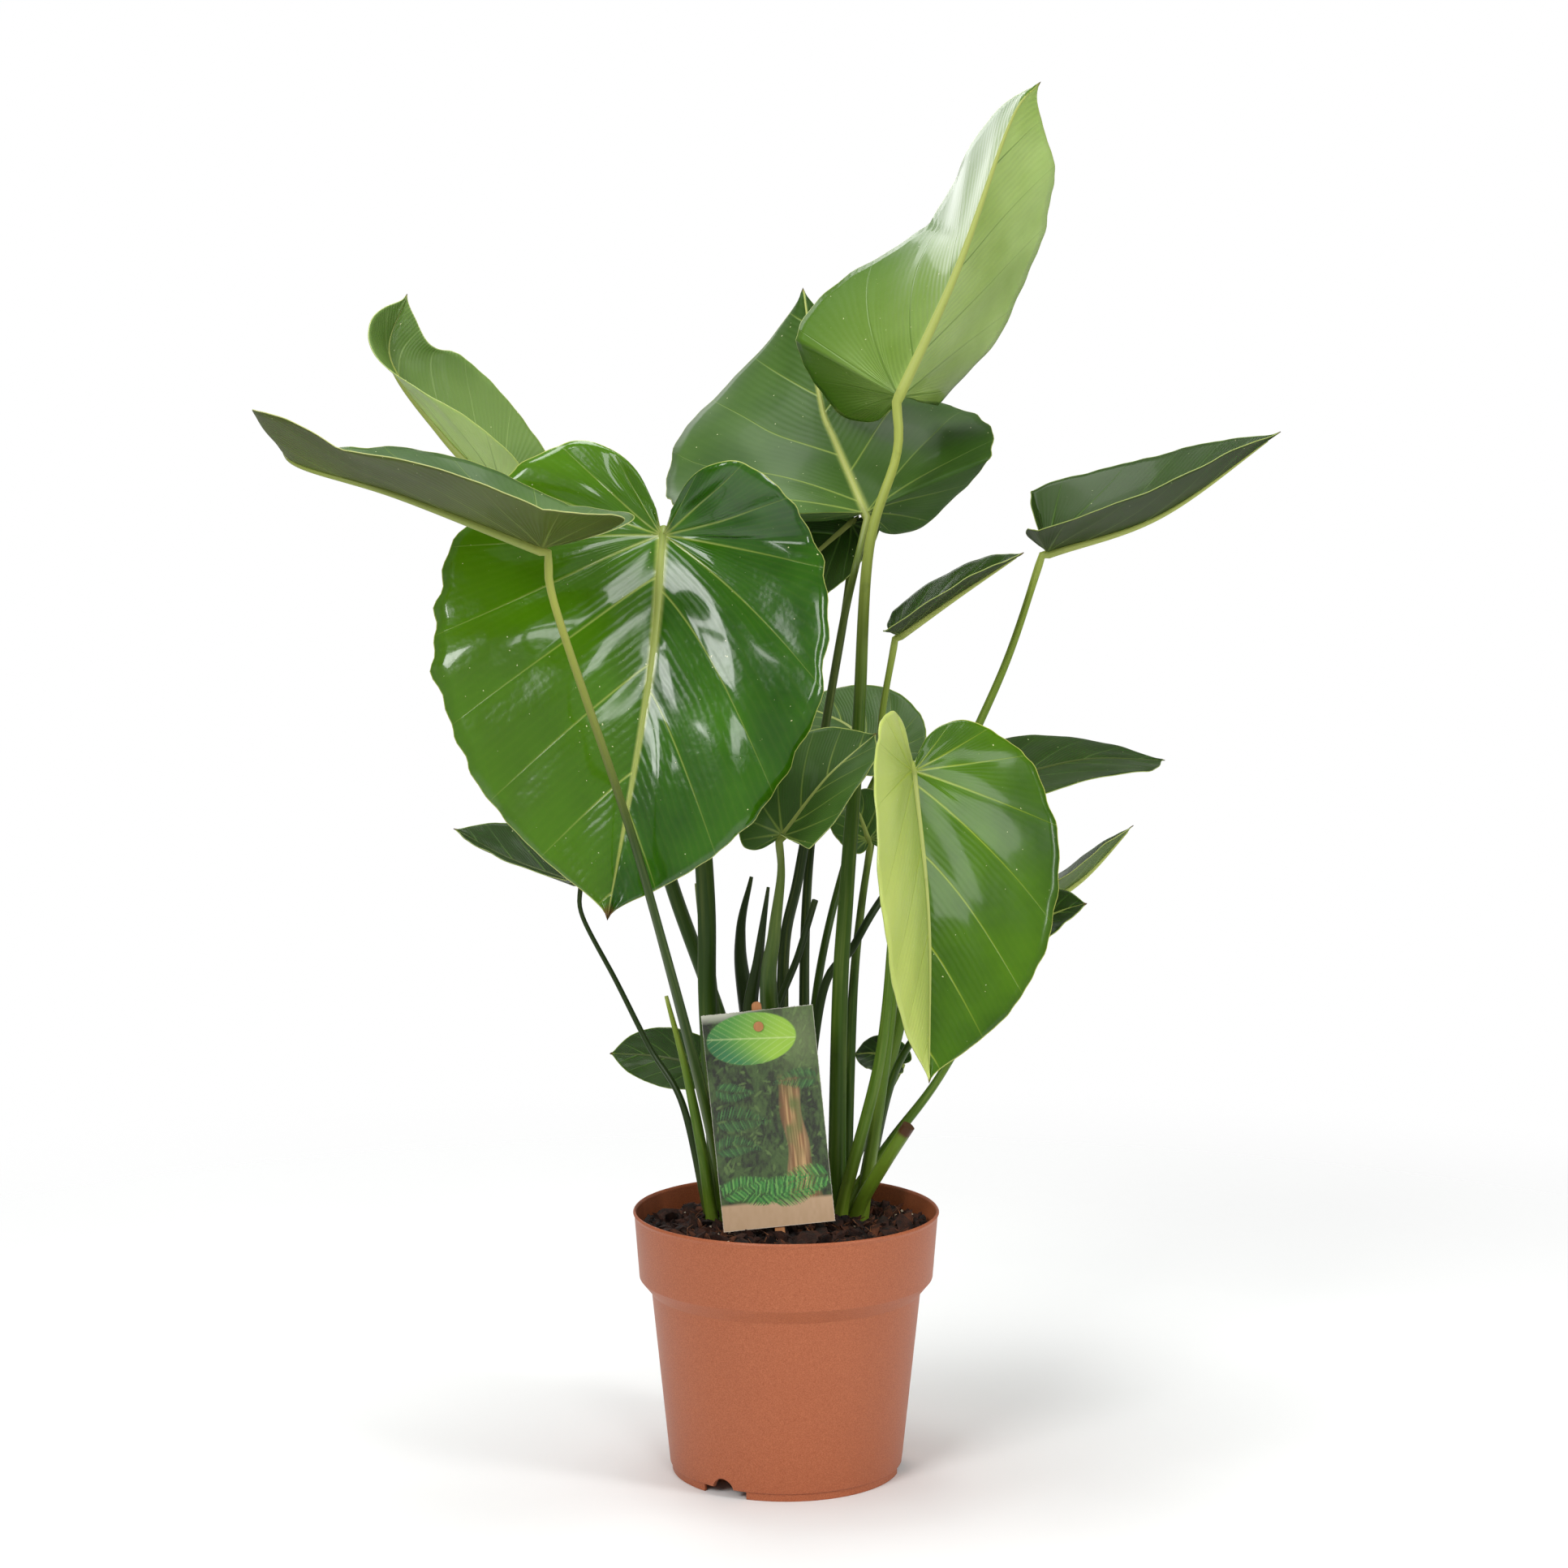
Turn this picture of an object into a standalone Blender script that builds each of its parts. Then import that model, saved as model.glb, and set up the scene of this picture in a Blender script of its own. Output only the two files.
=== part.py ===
"""Potted monstera plant: a nursery pot of soil, six crowns, leaf stalks, heart-shaped leaves and a label.

Metres, +Z up. The origin is on the floor under the pot's centre. The plant is described in its own
frame, whose origin is the middle of the soil's surface, and PLANT_SCALE sizes it as one.
"""

import math
from collections import namedtuple

import bmesh
import bpy
import numpy as np
from mathutils import Vector

# Pot: a moulded nursery pot with a stepped collar.
POT_HEIGHT = 0.1635
RIM_RADIUS = 0.095
RIM_DROP = 0.003
COLLAR_HEIGHT = 0.042
COLLAR_TAPER = 0.004
STEP_DROP = 0.012
STEP_IN = 0.0075
BASE_RADIUS = 0.0722
WALL = 0.0022
FOOT_HEIGHT = 0.005
FOOT_INSET = 0.0013
FOOT_WIDTH = 0.0036
FLOOR = 0.003
POT_SEGMENTS = 48
FOOT_GAPS = 3
FOOT_GAP_ANGLE = 238
FOOT_GAP_WIDTH = 0.030
NOTCH_WIDTH = 0.015
NOTCH_CENTRE = 0.0037
SKIRT = 0.009
DRAIN_HOLES = 6
DRAIN_RADIUS = 0.005
DRAIN_RING = 0.045
DRAIN_ANGLE = 17

# Soil and crowns.
HEADSPACE = 0.0135
CLEARANCE = 0.0003
CROWN_RADIUS = 0.0135
CROWN_HEIGHT = 0.007
CROWN_DEPTH = 0.014
CROWN_FOOT = 0.6
CROWN_TWIST = 7
CROWN_SHOULDER = 0.005
CROWN_SEGMENTS = 16

# Leaves and stalks.
PLANT_SCALE = 1.0
LEAF_THICKNESS = 0.0011
STALK_SEGMENTS = 11
STALK_END_RADIUS = 0.0008
END_SINK = 0.8
SLOT_RING = 0.0086
SLOT_RISE = 0.006
BIG_GRID = (13, 4)
SMALL_GRID = (10, 3)

# Label: a card pinned to a flat stick.
CARD_WIDTH = 0.068
CARD_HEIGHT = 0.1285
CARD_THICKNESS = 0.0008
CARD_TILT = 6
CARD_LEAN = 4
CARD_BOTTOM = (-0.004, -0.040, 0.011)
STICK_WIDTH = 0.006
STICK_THICKNESS = 0.0024
STICK_ABOVE = 0.008
STICK_DEPTH = 0.060
PEG_HEAD_RADIUS = 0.0032
PEG_HEAD = 0.0015
PEG_HEAD_TAPER = 0.8
PEG_RADIUS = 0.0018
PEG_DOWN = 0.0155
PEG_SEGMENTS = 16

SOIL_TOP = POT_HEIGHT - HEADSPACE

# Half of a blade laid flat, from the sinus round to the tip: shares of half-width and of length.
HEART = (
    (0.05, -0.08),
    (0.14, -0.16),
    (0.27, -0.21),
    (0.45, -0.22),
    (0.70, -0.13),
    (0.92, 0.04),
    (1.00, 0.24),
    (0.96, 0.43),
    (0.84, 0.59),
    (0.66, 0.73),
    (0.48, 0.82),
    (0.26, 0.90),
    (0.11, 0.945),
    (0.03, 0.975),
    (0.00, 1.00),
)
# Share of the outline whose veins start at the stalk, before they start along the midrib.
FAN = 0.42

Crown = namedtuple("Crown", "name x y slots turn")
Leaf = namedtuple("Leaf", "name grid spine face half fold curl lobes")
Stalk = namedtuple("Stalk", "name crown slot radii route leaf")

CROWNS = (
    Crown("crown_left_front", -0.042, 0.008, 5, 90),
    Crown("crown_left_back", -0.030, 0.044, 4, 45),
    Crown("crown_centre", 0.000, 0.016, 4, 45),
    Crown("crown_centre_back", 0.006, 0.056, 4, 45),
    Crown("crown_right_front", 0.040, 0.010, 5, 90),
    Crown("crown_right_back", 0.044, 0.046, 4, 45),
)

# spine: base to tip along the midrib. face: the upper side's direction at base and tip.
# half and lobes: one number for each side. fold and curl: degrees at base, middle and tip.
LEAVES = (
    Leaf("leaf_01_front_large", BIG_GRID,
         ((-0.073, -0.050, 0.429), (-0.080, -0.078, 0.345), (-0.104, -0.100, 0.206)),
         ((0.0, -1.0, 0.3), (0.0, -1.0, 0.2)),
         (0.130, 0.102), ((8, 8, 8), (8, 8, 8)), ((-10, -10, -10), (-10, -10, -10)), (10, 50)),
    Leaf("leaf_02_left_low", BIG_GRID,
         ((-0.135, -0.165, 0.422), (-0.215, -0.160, 0.452), (-0.272, -0.140, 0.468), (-0.292, -0.090, 0.480)),
         ((0.0, -0.1, 1.0), (0.2, 0.1, 0.9)),
         (0.066, 0.068), ((15, 20, 20), (25, 15, 50)), ((10, 10, 10), (5, 5, 10)), (30, 30)),
    Leaf("leaf_03_left_high", BIG_GRID,
         ((-0.175, 0.012, 0.456), (-0.211, 0.022, 0.492), (-0.244, 0.030, 0.538), (-0.234, 0.040, 0.578)),
         ((0.69, -0.34, 0.64), (0.5, -0.8, 0.3)),
         (0.048, 0.048), ((35, 32, 25), (50, 45, 25)), ((0, 0, 0), (5, 5, 5)), (0, 0)),
    Leaf("leaf_04_centre_back", BIG_GRID,
         ((0.049, 0.030, 0.443), (0.031, 0.070, 0.488), (0.022, 0.090, 0.514), (0.011, 0.140, 0.590)),
         ((0.0, -0.8, 0.6), (0.0, -0.9, 0.4)),
         (0.095, 0.112), ((20, -10, -50), (20, -10, -50)), ((-10, -10, -10), (-10, -10, -10)), (-95, -125)),
    Leaf("leaf_05_top", BIG_GRID,
         ((0.069, 0.000, 0.513), (0.103, -0.010, 0.588), (0.134, -0.020, 0.675), (0.151, -0.025, 0.697)),
         ((0.2, 1.0, -0.2), (0.2, 1.0, -0.2)),
         (0.112, 0.092), ((25, 60, 60), (85, 70, 55)), ((0, 5, 5), (5, 5, 5)), (50, 120)),
    Leaf("leaf_06_behind", SMALL_GRID,
         ((0.041, 0.070, 0.437), (0.015, 0.080, 0.414), (-0.015, 0.090, 0.385)),
         ((0.0, -1.0, 0.5), (0.0, -1.0, 0.3)),
         (0.042, 0.030), ((10, 10, 10), (10, 10, 10)), ((10, 10, 10), (10, 10, 10)), (0, 0)),
    Leaf("leaf_07_right_high", BIG_GRID,
         ((0.162, 0.030, 0.419), (0.230, 0.020, 0.442), (0.300, 0.000, 0.492)),
         ((-0.38, -0.35, 0.85), (-0.38, -0.35, 0.85)),
         (0.055, 0.058), ((40, 40, 40), (25, 15, 5)), ((0, 0, 0), (5, 5, 5)), (50, 80)),
    Leaf("leaf_08_right_small", SMALL_GRID,
         ((0.069, 0.000, 0.369), (0.105, -0.010, 0.394), (0.143, -0.020, 0.419)),
         ((-0.38, -0.35, 0.85), (-0.38, -0.35, 0.85)),
         (0.028, 0.032), ((35, 35, 35), (8, 8, 8)), ((0, 0, 0), (0, 0, 0)), (50, 20)),
    Leaf("leaf_09_bright", BIG_GRID,
         ((0.075, -0.060, 0.290), (0.083, -0.090, 0.205), (0.083, -0.110, 0.112)),
         ((0.2, -1.0, 0.3), (0.2, -1.0, 0.2)),
         (0.070, 0.081), ((62, 60, 50), (8, 8, 8)), ((0, 0, 0), (-5, -5, -5)), (20, 0)),
    Leaf("leaf_10_centre_small", SMALL_GRID,
         ((-0.002, -0.050, 0.251), (0.025, -0.040, 0.285), (0.055, -0.020, 0.310)),
         ((-0.07, -0.85, 0.53), (-0.07, -0.85, 0.53)),
         (0.033, 0.035), ((30, 30, 30), (15, 15, 15)), ((10, 10, 10), (10, 10, 10)), (80, 0)),
    Leaf("leaf_11_centre_far", SMALL_GRID,
         ((0.063, 0.160, 0.283), (0.040, 0.190, 0.302), (0.005, 0.222, 0.315)),
         ((0.0, -0.6, 0.8), (0.0, -0.6, 0.8)),
         (0.042, 0.042), ((10, 10, 10), (10, 10, 10)), ((10, 10, 10), (10, 10, 10)), (0, 0)),
    Leaf("leaf_12_right_back", SMALL_GRID,
         ((0.122, 0.100, 0.266), (0.195, 0.155, 0.280), (0.261, 0.222, 0.275)),
         ((0.0, -0.5, 0.9), (0.0, -0.6, 0.8)),
         (0.040, 0.038), ((10, 10, 10), (5, 0, 0)), ((10, 10, 10), (0, 0, 0)), (35, 35)),
    Leaf("leaf_13_right_narrow", SMALL_GRID,
         ((0.146, 0.040, 0.190), (0.185, 0.045, 0.213), (0.219, 0.050, 0.247)),
         ((-0.4, 0.1, 0.9), (-0.4, 0.1, 0.9)),
         (0.030, 0.030), ((20, 20, 20), (20, 20, 20)), ((0, 0, 0), (0, 0, 0)), (0, 0)),
    Leaf("leaf_14_right_low", SMALL_GRID,
         ((0.143, 0.000, 0.185), (0.165, -0.005, 0.198), (0.184, -0.010, 0.205)),
         ((0.0, -0.6, 0.8), (0.0, -0.6, 0.8)),
         (0.022, 0.022), ((10, 10, 10), (10, 10, 10)), ((10, 10, 10), (10, 10, 10)), (0, 0)),
    Leaf("leaf_15_left_back", SMALL_GRID,
         ((-0.133, 0.040, 0.212), (-0.175, 0.050, 0.226), (-0.211, 0.060, 0.244)),
         ((0.0, -0.6, 0.8), (0.0, -0.6, 0.8)),
         (0.030, 0.026), ((10, 10, 10), (40, 40, 40)), ((10, 10, 10), (10, 10, 10)), (0, 40)),
    Leaf("leaf_16_left_bottom", SMALL_GRID,
         ((-0.056, 0.064, 0.092), (-0.086, 0.072, 0.096), (-0.114, 0.080, 0.096)),
         ((0.0, -1.0, 0.3), (0.0, -1.0, 0.3)),
         (0.020, 0.020), ((10, 10, 10), (10, 10, 10)), ((10, 10, 10), (10, 10, 10)), (0, 0)),
    Leaf("leaf_17_right_bottom", SMALL_GRID,
         ((0.072, 0.080, 0.090), (0.058, 0.090, 0.094), (0.044, 0.100, 0.092)),
         ((0.0, -0.8, 0.5), (0.0, -0.8, 0.5)),
         (0.014, 0.014), ((10, 10, 10), (10, 10, 10)), ((10, 10, 10), (10, 10, 10)), (0, 0)),
    Leaf("leaf_18_centre_behind", SMALL_GRID,
         ((0.052, 0.050, 0.238), (0.045, 0.065, 0.255), (0.035, 0.080, 0.261)),
         ((0.0, -0.8, 0.5), (0.0, -0.8, 0.5)),
         (0.022, 0.022), ((10, 10, 10), (10, 10, 10)), ((10, 10, 10), (10, 10, 10)), (0, 0)),
)

# radii: at the crown, midway and under the leaf. route: from the crown up.
STALKS = (
    Stalk("stalk_01", "crown_left_front", 0, (0.0045, 0.0042, 0.0028),
          ((-0.049, 0.020, 0.137), (-0.050, 0.015, 0.209), (-0.059, 0.005, 0.335), (-0.070, -0.012, 0.410)),
          "leaf_01_front_large"),
    Stalk("stalk_02", "crown_left_front", 3, (0.0040, 0.0026, 0.0022),
          ((-0.051, -0.030, 0.092), (-0.079, -0.115, 0.224), (-0.096, -0.140, 0.287), (-0.128, -0.162, 0.389)),
          "leaf_02_left_low"),
    Stalk("stalk_03", "crown_left_back", 0, (0.0045, 0.0035, 0.0028),
          ((-0.037, 0.056, 0.104), (-0.074, 0.060, 0.212), (-0.107, 0.050, 0.334), (-0.146, 0.035, 0.409)),
          "leaf_03_left_high"),
    Stalk("stalk_04", "crown_centre_back", 2, (0.0045, 0.0032, 0.0022),
          ((-0.002, 0.053, 0.156), (0.008, 0.048, 0.216), (0.024, 0.036, 0.308), (0.035, 0.018, 0.375), (0.042, 0.008, 0.408)),
          "leaf_04_centre_back"),
    Stalk("stalk_05", "crown_right_front", 1, (0.0045, 0.0036, 0.0026),
          ((0.033, 0.006, 0.140), (0.037, 0.004, 0.210), (0.044, 0.000, 0.310), (0.050, 0.000, 0.419),
           (0.067, 0.000, 0.478)), "leaf_05_top"),
    Stalk("stalk_06", "crown_centre_back", 3, (0.0040, 0.0028, 0.0024),
          ((0.012, 0.064, 0.176), (0.021, 0.070, 0.280), (0.037, 0.076, 0.378)), "leaf_06_behind"),
    Stalk("stalk_07", "crown_right_back", 0, (0.0045, 0.0030, 0.0022),
          ((0.062, 0.050, 0.080), (0.074, 0.050, 0.131), (0.082, 0.050, 0.207), (0.102, 0.045, 0.268),
           (0.137, 0.040, 0.349)), "leaf_07_right_high"),
    Stalk("stalk_08", "crown_right_front", 4, (0.0042, 0.0030, 0.0020),
          ((0.065, 0.012, 0.133), (0.067, 0.012, 0.209), (0.062, 0.008, 0.260), (0.058, 0.002, 0.310)),
          "leaf_08_right_small"),
    Stalk("stalk_09", "crown_right_front", 2, (0.0042, 0.0030, 0.0026),
          ((0.058, -0.010, 0.111), (0.067, -0.020, 0.213), (0.074, -0.040, 0.270)), "leaf_09_bright"),
    Stalk("stalk_10", "crown_centre", 3, (0.0042, 0.0040, 0.0022),
          ((-0.010, -0.010, 0.141), (-0.007, -0.030, 0.189), (-0.003, -0.042, 0.226)),
          "leaf_10_centre_small"),
    Stalk("stalk_11", "crown_centre_back", 0, (0.0036, 0.0026, 0.0022),
          ((0.020, 0.085, 0.138), (0.045, 0.130, 0.235)), "leaf_11_centre_far"),
    Stalk("stalk_12", "crown_centre", 0, (0.0036, 0.0026, 0.0020),
          ((0.022, 0.024, 0.140), (0.041, 0.028, 0.171), (0.059, 0.038, 0.200), (0.095, 0.072, 0.243)),
          "leaf_12_right_back"),
    Stalk("stalk_13", "crown_right_front", 0, (0.0040, 0.0026, 0.0020),
          ((0.067, 0.026, 0.051), (0.097, 0.026, 0.092), (0.133, 0.034, 0.156)), "leaf_13_right_narrow"),
    Stalk("stalk_14", "crown_right_back", 3, (0.0036, 0.0024, 0.0018),
          ((0.070, 0.034, 0.096), (0.106, 0.010, 0.148)), "leaf_14_right_low"),
    Stalk("stalk_15", "crown_left_front", 1, (0.0028, 0.0018, 0.0014),
          ((-0.065, 0.020, 0.075), (-0.086, 0.035, 0.108), (-0.107, 0.040, 0.149), (-0.128, 0.040, 0.190)),
          "leaf_15_left_back"),
    Stalk("stalk_16", "crown_left_back", 1, (0.0028, 0.0018, 0.0014),
          ((-0.046, 0.058, 0.060),), "leaf_16_left_bottom"),
    Stalk("stalk_17", "crown_right_back", 1, (0.0028, 0.0018, 0.0014),
          ((0.060, 0.070, 0.060),), "leaf_17_right_bottom"),
    Stalk("stalk_18", "crown_right_back", 2, (0.0040, 0.0032, 0.0022),
          ((0.042, 0.050, 0.133), (0.047, 0.052, 0.190)), "leaf_18_centre_behind"),
    # Old stalks and sheaths with no leaf: the last point is the free end.
    Stalk("sheath_left", "crown_left_front", 2, (0.0040, 0.0032, 0.0012),
          ((-0.052, 0.000, 0.048), (-0.062, 0.000, 0.099), (-0.074, 0.000, 0.146)), None),
    Stalk("stub_left", "crown_left_back", 2, (0.0045, 0.0045, 0.0035),
          ((-0.047, 0.036, 0.140), (-0.054, 0.034, 0.212)), None),
    Stalk("sheath_centre", "crown_centre_back", 1, (0.0045, 0.0055, 0.0015),
          ((-0.025, 0.062, 0.132), (-0.029, 0.062, 0.177), (-0.022, 0.060, 0.213)), None),
    Stalk("stub_centre", "crown_centre", 1, (0.0036, 0.0026, 0.0020),
          ((-0.009, 0.024, 0.114), (0.008, 0.018, 0.170), (0.018, 0.012, 0.204)), None),
    Stalk("bract_centre", "crown_centre", 2, (0.0040, 0.0045, 0.0012),
          ((-0.022, 0.006, 0.120), (-0.017, 0.002, 0.170), (-0.011, -0.004, 0.214)), None),
    Stalk("cut_stub_right", "crown_right_front", 3, (0.0045, 0.0042, 0.0040),
          ((0.061, -0.012, 0.045), (0.075, -0.020, 0.069)), None),
)


def clear_scene():
    for obj in list(bpy.data.objects):
        bpy.data.objects.remove(obj, do_unlink=True)


def material(name, colour, roughness):
    """A plain non-metal finish; colour is linear RGB."""
    made = bpy.data.materials.get(name) or bpy.data.materials.new(name)
    made.use_nodes = True
    shader = made.node_tree.nodes["Principled BSDF"]
    shader.inputs["Base Color"].default_value = (*colour, 1.0)
    shader.inputs["Roughness"].default_value = roughness
    shader.inputs["Metallic"].default_value = 0.0
    made.diffuse_color = (*colour, 1.0)
    return made


def add_mesh(name, bm, finish):
    """Turns a bmesh into a named object, with its faces pointing out."""
    bmesh.ops.recalc_face_normals(bm, faces=bm.faces)
    mesh = bpy.data.meshes.new(name)
    bm.to_mesh(mesh)
    bm.free()
    obj = bpy.data.objects.new(name, mesh)
    bpy.context.collection.objects.link(obj)
    if finish:
        mesh.materials.append(finish)
    return obj


def lathe(name, profile, segments, finish):
    """Turns (radius, height) points, which start and end on the axis, into a closed round body."""
    bm = bmesh.new()
    rings = []
    for radius, height in profile:
        if radius == 0:
            rings.append([bm.verts.new((0, 0, height))])
            continue
        turns = (2 * math.pi * step / segments for step in range(segments))
        rings.append([bm.verts.new((radius * math.cos(a), radius * math.sin(a), height)) for a in turns])
    for lower, upper in zip(rings, rings[1:]):
        for step in range(segments):
            after = (step + 1) % segments
            corners = [lower[step % len(lower)], lower[after % len(lower)],
                       upper[after % len(upper)], upper[step % len(upper)]]
            bm.faces.new(list(dict.fromkeys(corners)))
    return add_mesh(name, bm, finish)


def box(name, size, finish):
    bm = bmesh.new()
    bmesh.ops.create_cube(bm, size=1)
    bmesh.ops.scale(bm, vec=size, verts=bm.verts)
    return add_mesh(name, bm, finish)


def cylinder(name, radius, depth, segments):
    """A plain cylinder about Z, used as a cutter."""
    bm = bmesh.new()
    bmesh.ops.create_cone(bm, cap_ends=True, segments=segments, radius1=radius, radius2=radius, depth=depth)
    return add_mesh(name, bm, None)


def cut(target, cutter):
    """Takes the cutter's shape out of the target; the cutter stays as a hidden guide."""
    cutter.hide_render = True
    cutter.display_type = "WIRE"
    modifier = target.modifiers.new(cutter.name, "BOOLEAN")
    modifier.operation = "DIFFERENCE"
    modifier.solver = "EXACT"
    modifier.object = cutter


def round_shading(obj, angle=40):
    obj.data.shade_smooth()
    obj.data.set_sharp_from_angle(angle=math.radians(angle))


def smooth_path(points, count):
    """A smooth curve through the points, as count points evenly spaced along it."""
    fixed = np.array(points, dtype=float)
    ends = np.vstack([2 * fixed[0] - fixed[1], fixed, 2 * fixed[-1] - fixed[-2]])
    steps = np.linspace(0, 1, 24, endpoint=False)[:, None]
    fine = []
    for p0, p1, p2, p3 in zip(ends, ends[1:], ends[2:], ends[3:]):
        fine.append(0.5 * (2 * p1 + (p2 - p0) * steps + (2 * p0 - 5 * p1 + 4 * p2 - p3) * steps**2
                           + (3 * p1 - p0 - 3 * p2 + p3) * steps**3))
    fine = np.vstack([*fine, fixed[-1:]])
    along = np.concatenate([[0], np.cumsum(np.linalg.norm(np.diff(fine, axis=0), axis=1))])
    wanted = np.linspace(0, along[-1], count)
    return np.column_stack([np.interp(wanted, along, fine[:, axis]) for axis in range(fixed.shape[1])])


def unit(vector):
    return vector / np.linalg.norm(vector)


class Blade:
    """The middle surface of one leaf, as a bent sheet."""

    def __init__(self, leaf):
        self.leaf = leaf
        self.spine = smooth_path(leaf.spine, 40)
        self.length = float(np.sum(np.linalg.norm(np.diff(self.spine, axis=0), axis=1)))

    def frame(self, along):
        """Place, tangent and upper-face direction at a share of the length; behind the base it runs on."""
        shares = np.linspace(0, 1, len(self.spine))
        at = min(max(along, 0.0), 1.0)
        place = np.array([np.interp(at, shares, self.spine[:, axis]) for axis in range(3)])
        ahead, behind = min(at + 0.1, 1.0), max(at - 0.1, 0.0)
        tangent = unit(np.array([np.interp(ahead, shares, self.spine[:, axis])
                                 - np.interp(behind, shares, self.spine[:, axis]) for axis in range(3)]))
        face = unit(np.array(self.leaf.face[0])) * (1 - at) + unit(np.array(self.leaf.face[1])) * at
        face = unit(face - tangent * np.dot(face, tangent))
        return place, tangent, face

    def point(self, side, across, along):
        """A point of the sheet: side is -1 or 1, across and along are shares of half-width and length."""
        place, tangent, face = self.frame(along)
        which = 0 if side < 0 else 1
        outward = np.cross(face, tangent) * side
        reach = across * self.leaf.half[which]
        at = min(max(along, 0.0), 1.0)
        fold = math.radians(np.interp(at, (0, 0.5, 1), self.leaf.fold[which]))
        curl = math.radians(np.interp(at, (0, 0.5, 1), self.leaf.curl[which])) * across
        steps = [fold + curl * (step + 0.5) / 6 for step in range(6)]
        flat = sum(math.cos(angle) for angle in steps) / 6 * reach
        rise = sum(math.sin(angle) for angle in steps) / 6 * reach
        point = place + outward * flat + face * rise
        if along < 0:
            lobe = math.radians(self.leaf.lobes[which])
            back = -tangent * math.cos(lobe) + face * math.sin(lobe)
            point = point + back * (-along) * self.length
        return point


def leaf_rows(rows, columns):
    """Blade grid laid flat: each row runs from the midrib or the stalk out to the margin."""
    margin = smooth_path(HEART, rows)
    grid = []
    for number, (across, along) in enumerate(margin):
        share = number / (rows - 1)
        start = max(0.0, (share - FAN) / (1 - FAN))
        steps = [step / columns for step in range(columns + 1)]
        grid.append([(across * step, start + (along - start) * step) for step in steps])
    return grid


def leaf_sheet(leaf):
    """The leaf's middle surface as a bmesh whose halves share the midrib."""
    rows, columns = leaf.grid
    blade = Blade(leaf)
    grid = leaf_rows(rows, columns)
    bm = bmesh.new()
    base = bm.verts.new(blade.point(1, 0, 0))
    tip = bm.verts.new(blade.point(1, 0, 1))
    midrib = [base if row[0][1] == 0 else bm.verts.new(blade.point(1, 0, row[0][1])) for row in grid[:-1]]
    for side in (-1, 1):
        lines = []
        for start, row in zip(midrib, grid[:-1]):
            lines.append([start] + [bm.verts.new(blade.point(side, *spot)) for spot in row[1:]])
        lines.append([tip] * len(grid[0]))
        for lower, upper in zip(lines, lines[1:]):
            for step in range(len(lower) - 1):
                corners = [lower[step], lower[step + 1], upper[step + 1], upper[step]]
                corners = list(dict.fromkeys(corners))
                bm.faces.new(corners if side > 0 else corners[::-1])
    for vert in bm.verts:
        vert.co *= PLANT_SCALE
        vert.co.z += SOIL_TOP
    return bm


def build_leaf(leaf, finish):
    bm = leaf_sheet(leaf)
    mesh = bpy.data.meshes.new(leaf.name)
    bm.to_mesh(mesh)
    bm.free()
    obj = bpy.data.objects.new(leaf.name, mesh)
    bpy.context.collection.objects.link(obj)
    mesh.materials.append(finish)
    mesh.shade_smooth()
    solid = obj.modifiers.new("Thickness", "SOLIDIFY")
    solid.thickness = LEAF_THICKNESS
    solid.offset = 0
    return obj


def stalk_start(stalk):
    """The stalk's foot on its crown, in the plant's frame."""
    crown = next(each for each in CROWNS if each.name == stalk.crown)
    angle = math.radians(crown.turn) + 2 * math.pi * stalk.slot / crown.slots
    foot_z = CROWN_HEIGHT + CLEARANCE / PLANT_SCALE
    return np.array([crown.x + SLOT_RING * math.cos(angle), crown.y + SLOT_RING * math.sin(angle), foot_z])


def stalk_points(stalk):
    """Points along a stalk, from its crown to just under its leaf."""
    foot = stalk_start(stalk)
    points = [foot, foot + np.array([0, 0, SLOT_RISE]), *stalk.route]
    if stalk.leaf:
        leaf = next(each for each in LEAVES if each.name == stalk.leaf)
        base, _, face = Blade(leaf).frame(0)
        under = (LEAF_THICKNESS / 2 + CLEARANCE) / PLANT_SCALE + STALK_END_RADIUS * END_SINK
        points.append(base - face * under)
    return smooth_path(points, STALK_SEGMENTS + 1)


def build_stalk(stalk, finish):
    points = stalk_points(stalk)
    points[1, :2] = points[0, :2]
    curve = bpy.data.curves.new(stalk.name, "CURVE")
    curve.dimensions = "3D"
    curve.bevel_depth = 1.0
    curve.bevel_resolution = 2
    curve.use_fill_caps = True
    spline = curve.splines.new("POLY")
    spline.points.add(len(points) - 1)
    for number, (spot, point) in enumerate(zip(spline.points, points)):
        share = number / (len(points) - 1)
        spot.co = (*(point * PLANT_SCALE + np.array([0, 0, SOIL_TOP])), 1.0)
        spot.radius = np.interp(share, (0, 0.5, 1), stalk.radii) * PLANT_SCALE
    if stalk.leaf:
        spline.points[-1].radius = STALK_END_RADIUS * PLANT_SCALE
    obj = bpy.data.objects.new(stalk.name, curve)
    bpy.context.collection.objects.link(obj)
    curve.materials.append(finish)
    return obj


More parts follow.
